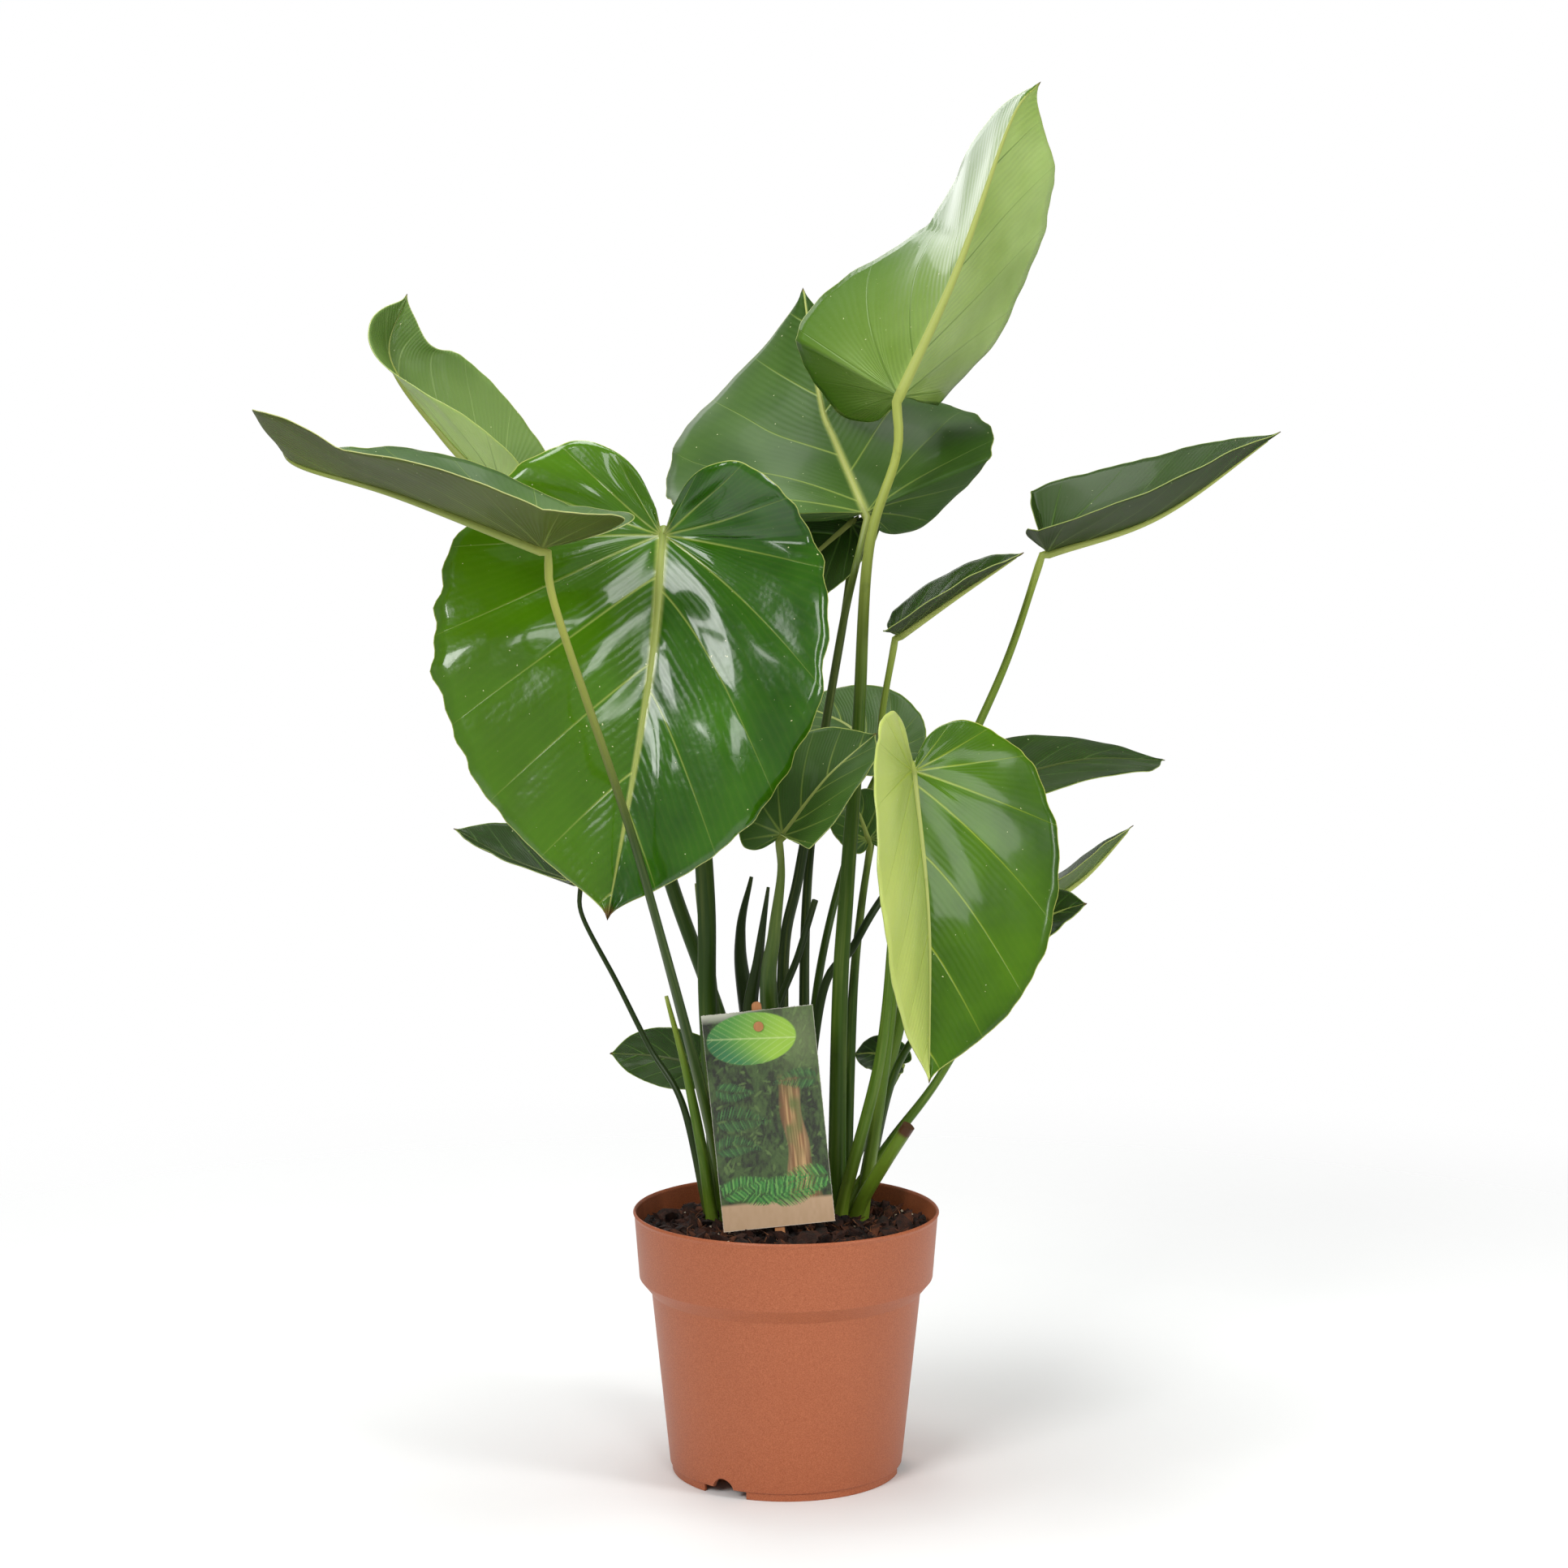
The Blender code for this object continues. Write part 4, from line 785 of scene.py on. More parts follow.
def swept_piece(name, tree, points, girths, ripeness, finish, sides=20, ridges=5, depth=0.05):
    """A tapering stem along points, as a plain mesh."""
    mesh = bpy.data.meshes.new(name)
    mesh.from_pydata([tuple(p) for p in points], [(i, i + 1) for i in range(len(points) - 1)], [])
    mark(mesh, "girth", girths)
    mark(mesh, "ripeness", ripeness)
    return run_tree(new_object(name, mesh), tree,
                    {"Sides": sides, "Ridges": ridges, "Ridge depth": depth, "Finish": finish})


def stalk_line(stalk):
    """The stalk's line from under the soil to its leaf, then on along the leaf's underside as its midrib."""
    crown = next(each for each in CROWNS if each.name == stalk.crown)
    angle = math.radians(crown.turn) + 2 * math.pi * stalk.slot / crown.slots
    foot = np.array([crown.x + SLOT_RING * math.cos(angle), crown.y + SLOT_RING * math.sin(angle), CROWN_HEIGHT])
    middle = np.array([crown.x, crown.y, -0.006])
    root = middle + (foot - middle) * np.array([0.45, 0.45, 0])
    points = [root, foot + np.array([0, 0, SLOT_RISE]), *stalk.route]
    radii = stalk.radii
    if not stalk.leaf:
        line = smooth_path(points, 60)
        share = np.linspace(0, 1, len(line))
        girth = np.interp(share, (0, 0.06, 0.5, 1), (radii[0] * 1.35, radii[0], radii[1], radii[2]))
        return line, girth, share
    leaf = next(each for each in LEAVES if each.name == stalk.leaf)
    blade = Blade(leaf)
    place, tangent, face = blade.frame(np.array([0.0]))
    base = place[0]
    points.append(base - face[0] * radii[2] * 0.6 - tangent[0] * 0.004)
    line = smooth_path(points, 70)
    share = np.linspace(0, 1, len(line))
    girth = np.interp(share, (0, 0.06, 0.5, 0.94, 1), (radii[0] * 1.35, radii[0], radii[1], radii[2], radii[2] * 1.12))
    at = np.linspace(0.0, 0.94, 40)
    place, _, face = blade.frame(at)
    rib = radii[2] * 1.1 * (1 - at) ** 0.9 + 0.00035
    ribs = place - face * (rib * 0.62)[:, None]
    line = np.vstack([line, ribs])
    girth = np.concatenate([girth, rib])
    ripeness = np.concatenate([share, 1 + at])
    return line, girth, ripeness


def make_stalk(stalk, tree, finishes):
    """A leaf stalk with its midrib, or an old stem with no leaf."""
    line, girth, ripeness = stalk_line(stalk)
    line = line + np.array([0, 0, SOIL_TOP])
    made = swept_piece(stalk.name + "_stem", tree, line, girth, ripeness, finishes[stalk.finish])
    return kept(made, stalk.name, slot="stalk_green")


# --- crowns ---------------------------------------------------------------------------------

def make_crown(crown, tree, finish):
    """The short scarred stem base that the stalks grow from, mostly under the soil."""
    lean = np.array([0.002, -0.001, 0])
    line = smooth_path([(crown.x, crown.y, -0.013), (crown.x, crown.y, -0.004),
                        tuple(np.array([crown.x, crown.y, 0.006]) + lean)], 26)
    share = np.linspace(0, 1, len(line))
    rings = 0.0006 * np.cos(share * 2 * math.pi * 5)
    girth = 0.0085 + rings - 0.0035 * share**3
    girth[-1] *= 0.35
    made = swept_piece(crown.name + "_base", tree, line + np.array([0, 0, SOIL_TOP]), girth, share * 0.3, finish,
                       sides=36, ridges=7, depth=0.06)
    return kept(made, crown.name, slot="stalk_green")


# --- pot ------------------------------------------------------------------------------------

def lathe(profile, segments):
    """Turns (radius, height) points, which start and end on the axis, into a closed body."""
    bm = bmesh.new()
    rings = []
    for radius, height in profile:
        if radius == 0:
            rings.append([bm.verts.new((0, 0, height))])
            continue
        turns = (2 * math.pi * step / segments for step in range(segments))
        rings.append([bm.verts.new((radius * math.cos(a), radius * math.sin(a), height)) for a in turns])
    for lower, upper in zip(rings, rings[1:]):
        for step in range(segments):
            after = (step + 1) % segments
            corners = [lower[step % len(lower)], lower[after % len(lower)],
                       upper[after % len(upper)], upper[step % len(upper)]]
            bm.faces.new(list(dict.fromkeys(corners)))
    return bm


def rounded(profile, radius, steps=4):
    """The profile with each inner corner eased by an arc-like curve."""
    made = [profile[0]]
    for before, corner, after in zip(profile, profile[1:], profile[2:]):
        here = Vector(corner)
        first, last = Vector(before) - here, Vector(after) - here
        reach = min(radius, first.length * 0.45, last.length * 0.45)
        start, end = here + first.normalized() * reach, here + last.normalized() * reach
        for step in range(steps + 1):
            t = step / steps
            made.append(tuple(start * (1 - t) ** 2 + here * 2 * t * (1 - t) + end * t * t))
    return made + [profile[-1]]


def pot_profile(sizes):
    """Half section of the pot, from the underside's centre round the outside and back inside."""
    rim, top = POT_BOX[1][0], POT_BOX[1][2]
    base, wall = sizes.base_radius, sizes.wall
    low = rim - sizes.collar_taper
    step_z = top - sizes.collar_height
    neck = low - sizes.step_in
    floor = sizes.skirt
    outer = [(0, floor), (base - sizes.foot_width, floor), (base - sizes.foot_width, 0), (base - sizes.foot_inset, 0),
             (base - sizes.foot_inset, sizes.foot_height), (base, sizes.foot_height),
             (neck, step_z - sizes.step_drop), (low, step_z), (rim - 0.001, top - 0.0034), (rim, top - 0.0016),
             (rim - wall / 2, top), (rim - wall, top - 0.0016), (low - wall, step_z),
             (neck - wall, step_z - sizes.step_drop), (base - wall, floor + wall), (0, floor + wall)]
    return rounded(outer, 0.0007)


def cutter_box(size, place, turn):
    """A block that cuts a gap in the foot ring."""
    bm = bmesh.new()
    bmesh.ops.create_cube(bm, size=1.0)
    bm.transform(Matrix.Translation(place) @ Matrix.Rotation(turn, 4, "Z") @ Matrix.Diagonal((*size, 1)))
    return bm


def cutter_drum(radius, depth, place, turn, upright=False):
    """A drum that cuts a round notch, or a hole through the floor if upright."""
    bm = bmesh.new()
    bmesh.ops.create_cone(bm, cap_ends=True, segments=40, radius1=radius, radius2=radius, depth=depth)
    lay = Matrix.Identity(4) if upright else Matrix.Rotation(math.pi / 2, 4, "Y")
    bm.transform(Matrix.Translation(place) @ Matrix.Rotation(turn, 4, "Z") @ lay)
    return bm


def make_pot(sizes):
    """The lathed pot, with the gaps and notches of its foot and its drain holes cut out."""
    made = mesh_object("nursery_pot", lathe(pot_profile(sizes), 160))
    cutters = []
    for number in range(FOOT_GAPS):
        turn = math.radians(sizes.gap_angle) + 2 * math.pi * number / FOOT_GAPS
        out = Vector((math.cos(turn), math.sin(turn), 0))
        cutters.append(cutter_box((GAP_DEPTH, GAP_WIDTH, 2 * sizes.foot_height - 0.0006),
                                  out * (sizes.base_radius - sizes.foot_width), turn))
        cutters.append(cutter_drum(NOTCH_RADIUS, CUT_DEPTH, out * sizes.base_radius + Vector((0, 0, NOTCH_HEIGHT)), turn))
    for number in range(DRAIN_HOLES):
        turn = math.radians(DRAIN_TURN) + 2 * math.pi * number / DRAIN_HOLES
        place = Vector((DRAIN_RING * math.cos(turn), DRAIN_RING * math.sin(turn), sizes.skirt))
        cutters.append(cutter_drum(DRAIN_RADIUS, CUT_DEPTH, place, 0.1, True))
    guides = [mesh_object(f"pot_cut_{number}", cutter) for number, cutter in enumerate(cutters)]
    for guide in guides:
        cut = made.modifiers.new(guide.name, "BOOLEAN")
        cut.operation, cut.solver, cut.object = "DIFFERENCE", "EXACT", guide
    settled(made)
    for guide in guides:
        discard(guide)
    made.data.shade_smooth()
    made.data.set_sharp_from_angle(angle=math.radians(32))
    made.data.materials.clear()
    made.data.materials.append(pot_finish(tuple(sizes.dark), tuple(sizes.light)))
    return kept(made, "pot", slot="pot_plastic")


# --- soil -----------------------------------------------------------------------------------

def soil_height(x, y, sizes):
    """Lumps of the soil's surface, which rises a little round the stems."""
    rough = noise.fractal(Vector((x, y, 3.1)) * 38, 1.0, 2.0, 4)
    fine = noise.fractal(Vector((x, y, 8.3)) * 160, 1.0, 2.0, 3)
    return sizes.lumps * (rough * 0.75 + fine * 0.3) + SOIL_RISE


def make_soil_bed(sizes):
    """The soil as a closed plug whose top is lumpy."""
    bm = bmesh.new()
    rings, segments = 44, 128
    centre = bm.verts.new((0, 0, SOIL_TOP + soil_height(0, 0, sizes)))
    lines = []
    for ring in range(1, rings + 1):
        reach = SOIL_EDGE * ring / rings
        line = []
        for step in range(segments):
            turn = 2 * math.pi * step / segments
            x, y = reach * math.cos(turn), reach * math.sin(turn)
            line.append(bm.verts.new((x, y, SOIL_TOP + soil_height(x, y, sizes))))
        lines.append(line)
    for drop in (0.012, 0.026):
        scale = 1 - drop * 0.35
        lines.append([bm.verts.new((v.co.x * scale, v.co.y * scale, SOIL_TOP - drop)) for v in lines[rings - 1]])
    floor = bm.verts.new((0, 0, SOIL_TOP - 0.026))
    for step in range(segments):
        after = (step + 1) % segments
        bm.faces.new((centre, lines[0][step], lines[0][after]))
        for inner, outer in zip(lines, lines[1:]):
            bm.faces.new((inner[step], outer[step], outer[after], inner[after]))
        bm.faces.new((floor, lines[-1][after], lines[-1][step]))
    made = mesh_object("soil_bed", bm)
    made.data.shade_smooth()
    made.data.materials.append(crumb_finish("damp_peat", "#0c0603", "#22130b"))
    return made


def chip_shape(name, size, seed):
    """One broken chip: a low ball pushed out of shape."""
    bm = bmesh.new()
    bmesh.ops.create_icosphere(bm, subdivisions=1, radius=0.5)
    for vert in bm.verts:
        push = noise.noise_vector(vert.co * 2.3 + Vector((seed, seed, seed))) * 0.34
        vert.co = Vector(((vert.co.x + push.x) * size[0], (vert.co.y + push.y) * size[1], (vert.co.z + push.z) * size[2]))
    return mesh_object(name, bm)


def fibre_shape(name, length, girth, seed):
    """One coir fibre: a thin bent thread."""
    rng = np.random.default_rng(seed)
    line = smooth_path([(-0.5 * length, 0, 0), (-0.15 * length, rng.uniform(-0.2, 0.2) * length, 0.12 * length),
                        (0.2 * length, rng.uniform(-0.2, 0.2) * length, 0.05 * length),
                        (0.5 * length, 0, 0.16 * length)], 6)
    bm = bmesh.new()
    rings = []
    for spot in line:
        rings.append([bm.verts.new((spot[0], spot[1] + girth * math.cos(a), spot[2] + girth * math.sin(a)))
                      for a in (0, 2.09, 4.19)])
    for lower, upper in zip(rings, rings[1:]):
        for step in range(3):
            bm.faces.new((lower[step], upper[step], upper[(step + 1) % 3], lower[(step + 1) % 3]))
    bm.faces.new(rings[0])
    bm.faces.new(rings[-1][::-1])
    bmesh.ops.recalc_face_normals(bm, faces=bm.faces)
    return mesh_object(name, bm)


def scatter_tree():
    """Scatters one shape over the top of a surface, each turned and scaled on its own."""
    tree, inputs = new_tree("Soil scatter", (
        ("Shape", "Object", None), ("Per square metre", "Float", 20000.0), ("Smallest", "Float", 0.6),
        ("Largest", "Float", 1.4), ("Tilt", "Float", 0.9), ("Sink", "Float", 0.0), ("Reach", "Float", 0.08),
        ("Seed", "Int", SEED), ("Finish", "Material", None)))
    facing = node(tree, "ShaderNodeSeparateXYZ", {}, {0: node(tree, "GeometryNodeInputNormal").outputs[0]})
    flat = node(tree, "ShaderNodeVectorMath", {"operation": "MULTIPLY", 1: (1, 1, 0)},
                {0: node(tree, "GeometryNodeInputPosition").outputs[0]})
    reach = node(tree, "ShaderNodeVectorMath", {"operation": "LENGTH"}, {0: flat.outputs[0]})
    within = maths(tree, "LESS_THAN", reach.outputs["Value"], inputs["Reach"])
    upward = node(tree, "FunctionNodeCompare", {"data_type": "FLOAT", "operation": "GREATER_THAN", 1: 0.5},
                  {0: maths(tree, "MULTIPLY", within, maths(tree, "GREATER_THAN", facing.outputs[2], 0.25))})
    spots = node(tree, "GeometryNodeDistributePointsOnFaces", {"distribute_method": "RANDOM"},
                 {"Mesh": inputs["Geometry"], "Selection": upward.outputs[0],
                  "Density": inputs["Per square metre"], "Seed": inputs["Seed"]})
    shape = node(tree, "GeometryNodeObjectInfo", {"transform_space": "ORIGINAL"}, {"Object": inputs["Shape"]})
    low = node(tree, "ShaderNodeCombineXYZ", {}, {0: maths(tree, "MULTIPLY", inputs["Tilt"], -1.0),
                                                1: maths(tree, "MULTIPLY", inputs["Tilt"], -1.0)})
    high = node(tree, "ShaderNodeCombineXYZ", {2: 6.283}, {0: inputs["Tilt"], 1: inputs["Tilt"]})
    turn = node(tree, "FunctionNodeRandomValue", {"data_type": "FLOAT_VECTOR"},
                {"Min": low.outputs[0], "Max": high.outputs[0], "Seed": inputs["Seed"]})
    size = node(tree, "FunctionNodeRandomValue", {"data_type": "FLOAT"},
                {2: inputs["Smallest"], 3: inputs["Largest"], "Seed": inputs["Seed"]})
    placed = node(tree, "GeometryNodeInstanceOnPoints", {},
                  {"Points": spots.outputs[0], "Instance": shape.outputs["Geometry"], "Rotation": turn.outputs[0],
                   "Scale": size.outputs[1]})
    drop = node(tree, "ShaderNodeCombineXYZ", {}, {2: inputs["Sink"]})
    sunk = node(tree, "GeometryNodeTranslateInstances", {"Local Space": False},
                {"Instances": placed.outputs[0], "Translation": drop.outputs[0]})
    finish_tree(tree, sunk.outputs[0], inputs["Finish"])
    return tree


def make_soil(sizes):
    """The soil's bed, with loose crumbs, bark, fibres and grit scattered on it."""
    bed = make_soil_bed(sizes)
    tree = scatter_tree()
    bark = crumb_finish("wet_bark", "#140804", "#3a1c0d", 0.85)
    dry = crumb_finish("dry_bark", "#32180b", "#5e3219", 0.9)
    coir = crumb_finish("coir_fibre", "#4a2814", "#7c4c28", 0.8)
    pale = crumb_finish("pale_grit", "#8f7d66", "#c9bba4", 0.85)
    # name, shape, number per square metre, smallest and largest, tilt, sink, room from the wall, finish
    kinds = (
        ("soil_crumbs", chip_shape("crumb", (0.0042, 0.0036, 0.0030), 1), 60000.0, 0.45, 1.5, 1.2, 0.0004, 0.0035, bark),
        ("soil_bark", chip_shape("bark_chip", (0.013, 0.0075, 0.0040), 4), 12000.0, 0.6, 1.5, 1.0, 0.0014, 0.0098, bark),
        ("soil_bark_dry", chip_shape("dry_chip", (0.010, 0.0060, 0.0028), 9), 5200.0, 0.5, 1.5, 0.9, 0.0018, 0.0078, dry),
        ("soil_fibres", fibre_shape("fibre", 0.016, 0.00028, 5), 6500.0, 0.4, 1.3, 0.8, 0.0016, 0.0115, coir),
        ("soil_grit", chip_shape("grit", (0.0022, 0.0020, 0.0017), 3), 1500.0, 0.5, 1.2, 1.2, 0.0016, 0.0025, pale),
    )
    for number, (name, shape, density, small, large, tilt, sink, room, finish) in enumerate(kinds):
        made = run_tree(new_object(name, bed.data.copy()), tree,
                        {"Shape": shape, "Per square metre": density, "Smallest": small, "Largest": large, "Tilt": tilt,
                         "Sink": sink, "Seed": SEED + number, "Finish": finish, "Reach": SOIL_EDGE - room})
        made.data.materials.clear()
        made.data.materials.append(finish)
        kept(made, slot="soil_mix")
        discard(shape)
    kept(bed, "soil", slot="soil_mix")


# --- label ----------------------------------------------------------------------------------

def value_noise(u, v, cells, seed):
    """Smooth noise from 0 to 1 on a plane, from a seeded lattice."""
    rng = np.random.default_rng(seed)
    lattice = rng.random((cells + 2, cells + 2))
    x, y = u * cells, v * cells
    i, j = np.floor(x).astype(int) % (cells + 1), np.floor(y).astype(int) % (cells + 1)
    fx, fy = x - np.floor(x), y - np.floor(y)
    fx, fy = fx * fx * (3 - 2 * fx), fy * fy * (3 - 2 * fy)
    return ((lattice[i, j] * (1 - fx) + lattice[i + 1, j] * fx) * (1 - fy)
            + (lattice[i, j + 1] * (1 - fx) + lattice[i + 1, j + 1] * fx) * fy)


class CardArt:
    """A generic jungle print: ferns, a pale trunk, a green oval with leaf veins, and a kraft band."""

    def __init__(self, u, v, aspect):
        self.u, self.v, self.aspect = u, v * aspect, aspect
        rows = value_noise(u, v, 9, 1) * 0.4 + value_noise(u, v, 30, 2) * 0.3 + value_noise(u, v, 75, 3) * 0.3
        shade = np.clip((rows - 0.33) * 3.0, 0, 1)[..., None]
        self.colour = np.array(linear("#0d1a09")[:3]) * (1 - shade) + np.array(linear("#3f5a28")[:3]) * shade

    def lay(self, mask, colour):
        """Prints a colour over what is there, as strongly as the mask says."""
        mask = np.clip(mask, 0, 1)[..., None]
        self.colour = self.colour * (1 - mask) + np.array(linear(colour)[:3]) * mask

    def blade(self, x, y, length, width, turn, colour, strength=1.0):
        """One pointed leaflet from (x, y)."""
        du, dv = self.u - x, self.v - y
        along = (du * math.cos(turn) + dv * math.sin(turn)) / length
        across = (-du * math.sin(turn) + dv * math.cos(turn)) / width
        inside = np.sin(np.pi * np.clip(along, 0, 1)) ** 0.7 - np.abs(across)
        self.lay(np.where((along > 0) & (along < 1), np.clip(inside * 4, 0, 1), 0) * strength, colour)

    def fern(self, x, y, length, turn, bend, colours, count=16, width=0.011):
        """A fern frond: leaflets in pairs along a bending stem."""
        for step in range(count):
            t = step / count
            here = turn + bend * t
            side = math.sin(math.pi * min(1, t * 0.9 + 0.12)) ** 0.7 * length * 0.34 * (1.05 - t)
            x += math.cos(here) * length / count
            y += math.sin(here) * length / count
            for way in (-1, 1):
                colour = colours[(step + (way > 0)) % len(colours)]
                self.blade(x, y, side + 0.012, width * (1.1 - t * 0.5), here + way * 1.15, colour)

    def disc(self, x, y, wide, tall, turn):
        """An oval: its own two directions, and the mask of its inside."""
        du, dv = self.u - x, self.v - y
        a = (du * math.cos(turn) + dv * math.sin(turn)) / wide
        b = (-du * math.sin(turn) + dv * math.cos(turn)) / tall
        return a, b, np.clip((1 - np.sqrt(a * a + b * b)) * 30, 0, 1)


def card_art(u, v, aspect):
    """The print's colours over the card: u to the right, v upwards."""
    art = CardArt(u, v, aspect)
    rng = np.random.default_rng(SEED)
    top = aspect
    for _ in range(260):
        art.blade(rng.uniform(0, 1), rng.uniform(0.2 * top, top), rng.uniform(0.03, 0.11), rng.uniform(0.007, 0.018),
                  rng.uniform(0, 6.28), ("#2f4a1e", "#48662e", "#14240d", "#5d7a3d")[rng.integers(4)], 0.75)
    art.lay(np.clip((art.v - top * 0.955) * 14, 0, 1) * np.clip((0.55 - art.u) * 3, 0, 1), "#c9cbb9")
    glow = np.exp(-(((art.u - 0.86) / 0.25) ** 2 + ((art.v - top * 0.86) / 0.3) ** 2))
    art.lay(glow * 0.45, "#8fa56a")
    lean = art.u - 0.74 + 0.06 * (art.v - 0.6) - 0.015 * np.sin(art.v * 11)
    trunk = np.abs(lean) / (0.10 + 0.16 * np.clip(0.72 - art.v, 0, 1) ** 1.5)
    bark = np.clip((1 - trunk) * 5, 0, 1) * np.clip((top * 0.70 - art.v) * 5, 0, 1)
    art.lay(bark, "#8a6038")
    grain = value_noise(np.clip(u * 2.2 + lean * 0.4, 0, 3) % 1.0, v * 0.22, 34, 5)
    art.lay(bark * np.clip(grain * 1.6 - 0.4, 0, 1) * 0.75, "#d8b27c")
    art.lay(bark * np.clip(trunk * 1.5 - 0.55, 0, 1) * 0.8, "#3d2716")
    moss = value_noise(u, v, 18, 12)
    art.lay(bark * np.clip(moss * 3 - 1.9, 0, 1) * 0.8, "#4f6a2c")
    for x, y, length, turn, bend in ((0.02, 0.98, 0.5, 0.15, -0.5), (0.0, 0.72, 0.42, 0.35, -0.8),
                                     (0.98, 1.28, 0.4, 2.9, 0.5), (0.05, 1.28, 0.36, -0.4, 0.5)):
        art.fern(x, y, length, turn, bend, ("#2f6430", "#234f26", "#437a3a"), 20, 0.008)
    art.lay(np.clip((0.245 - art.v) * 40, 0, 1), "#cfae8b")
    paper = value_noise(u, v, 40, 8)
    art.lay(np.clip((0.245 - art.v) * 40, 0, 1) * paper * 0.35, "#b9946c")
    for x, y, length, turn, bend in ((0.50, 0.26, 0.55, 2.7, 0.35), (0.30, 0.28, 0.5, 0.25, 0.1), (0.02, 0.30, 0.45, 0.5, -0.4),
                                     (1.0, 0.42, 0.62, 3.25, 0.15), (0.45, 0.24, 0.6, 0.42, -0.45)):
        art.fern(x, y, length, turn, bend, ("#2f7a30", "#4a9640", "#235a28", "#6aac52"), 26, 0.009)
    a, b, inside = art.disc(0.425, top * 0.873, 0.405, 0.235, 0.02)
    art.lay(inside, "#4f9a3c")
    art.lay(inside * np.clip(0.5 + a * 0.8 - b * 0.2, 0, 1), "#9cc93f")
    art.lay(inside * np.clip(-a * 1.3 - b - 0.25, 0, 1), "#2c7a46")
    ribs = np.abs(((a * 1.2 + np.abs(b + 0.15 * a) * 1.1) * 4.0) % 1.0 - 0.5) * 2
    art.lay(inside * np.clip((ribs - 0.86) * 9, 0, 1) * 0.5, "#d3e59a")
    art.lay(inside * np.clip(1 - np.abs(b + 0.15 * a) * 26, 0, 1) * 0.7, "#dbeaa6")
    return np.clip(art.colour, 0, 1)


def make_label(sizes):
    """The card on its stick, held by a wooden peg."""
    place = (Matrix.Translation(Vector(sizes.foot) + Vector((0, 0, SOIL_TOP)))
             @ Matrix.Rotation(-sizes.tilt, 4, "Y") @ Matrix.Rotation(-sizes.lean, 4, "X"))
    wide, tall, thick = sizes.width, sizes.height, sizes.thickness
    columns, rows = 144, 268
    u, v = np.meshgrid(np.linspace(0, 1, columns), np.linspace(0, 1, rows))
    art = card_art(u, v, tall / wide)
    rng = np.random.default_rng(SEED)
    ragged = rng.uniform(-1, 1, (rows, columns)) * 0.00012
    x, z = (u - 0.5) * wide, v * tall
    z[-1] += ragged[-1] * 2
    x[:, 0] += ragged[:, 0]
    x[:, -1] += ragged[:, -1]
    count = rows * columns
    verts = np.column_stack([x.ravel(), np.full(count, -thick / 2), z.ravel()])
    ring = ([*range(columns)] + [row * columns + columns - 1 for row in range(1, rows)]
            + [(rows - 1) * columns + column for column in range(columns - 2, -1, -1)]
            + [row * columns for row in range(rows - 2, 0, -1)])
    back = verts[ring] + np.array([0, thick, 0])
    faces = [(r * columns + c, r * columns + c + 1, (r + 1) * columns + c + 1, (r + 1) * columns + c)
             for r in range(rows - 1) for c in range(columns - 1)]
    size = len(ring)
    faces += [(ring[(i + 1) % size], ring[i], count + i, count + (i + 1) % size) for i in range(size)]
    faces.append([count + i for i in range(size)][::-1])
    mesh = bpy.data.meshes.new("care_label_card")
    mesh.from_pydata(np.vstack([verts, back]).tolist(), [], faces)
    paint = mesh.color_attributes.new("print", "FLOAT_COLOR", "POINT")
    colours = np.ones((count + size, 4), dtype=np.float32)
    colours[:count, :3] = art.reshape(-1, 3)
    colours[count:, :3] = linear("#c7b293")[:3]
    colours[ring, :3] = colours[ring, :3] * 0.4 + np.array(linear("#e9e4d8")[:3]) * 0.6
    paint.data.foreach_set("color", colours.ravel())
    mesh.transform(place)
    mesh.materials.append(card_finish())
    kept(new_object("care_label_card", mesh), "label_card", slot="label_card")
    wood = wood_finish()
    stick = bmesh.new()
    bmesh.ops.create_cube(stick, size=1.0)
    height = sizes.stick_depth + tall + sizes.stick_above
    back_y = thick / 2 + 0.0003 + sizes.stick_thickness / 2
    stick.transform(Matrix.Translation((0, back_y, tall + sizes.stick_above - height / 2))
                    @ Matrix.Diagonal((sizes.stick_width, sizes.stick_thickness, height, 1)))
    ends = [edge for edge in stick.edges if min(vert.co.z for vert in edge.verts) > tall
            and abs(edge.verts[0].co.z - edge.verts[1].co.z) < 1e-6
            and abs(edge.verts[0].co.y - edge.verts[1].co.y) > 1e-4]
    bmesh.ops.bevel(stick, geom=ends, offset=sizes.stick_width * 0.42, segments=6, affect="EDGES", profile=0.5)
    bmesh.ops.bevel(stick, geom=stick.edges[:], offset=0.00025, segments=2, affect="EDGES")
    made = mesh_object("care_label_stick", stick)
    made.data.transform(place)
    made.data.materials.append(wood)
    made.data.shade_smooth()
    made.data.set_sharp_from_angle(angle=math.radians(40))
    kept(made, "label_stick", slot="label_wood")
    head = lathe(rounded([(0, -0.0008), (0.0017, -0.0008), (0.0017, 0.0002), (0.0031, 0.0002), (0.0031, 0.0012),
                          (0, 0.0016)], 0.0006), 32)
    bmesh.ops.recalc_face_normals(head, faces=head.faces)
    made = mesh_object("care_label_peg", head)
    pin = place @ Matrix.Translation((0, -thick / 2, tall - sizes.peg_down)) @ Matrix.Rotation(math.pi / 2, 4, "X")
    made.data.transform(pin)
    made.data.materials.append(wood)
    made.data.shade_smooth()
    kept(made, "label_peg", slot="label_wood")


# --- sizes that a user would change -----------------------------------------------------------

def length_prop(name, description, default, low=0.0, high=1.0):
    return FloatProperty(name=name, description=description, default=default, min=low, max=high,
                         subtype="DISTANCE", unit="LENGTH", precision=4)


def number_prop(name, description, default, low, high):
    return FloatProperty(name=name, description=description, default=default, min=low, max=high)


def angle_prop(name, description, degrees):
    return FloatProperty(name=name, description=description, default=math.radians(degrees), subtype="ANGLE", unit="ROTATION")


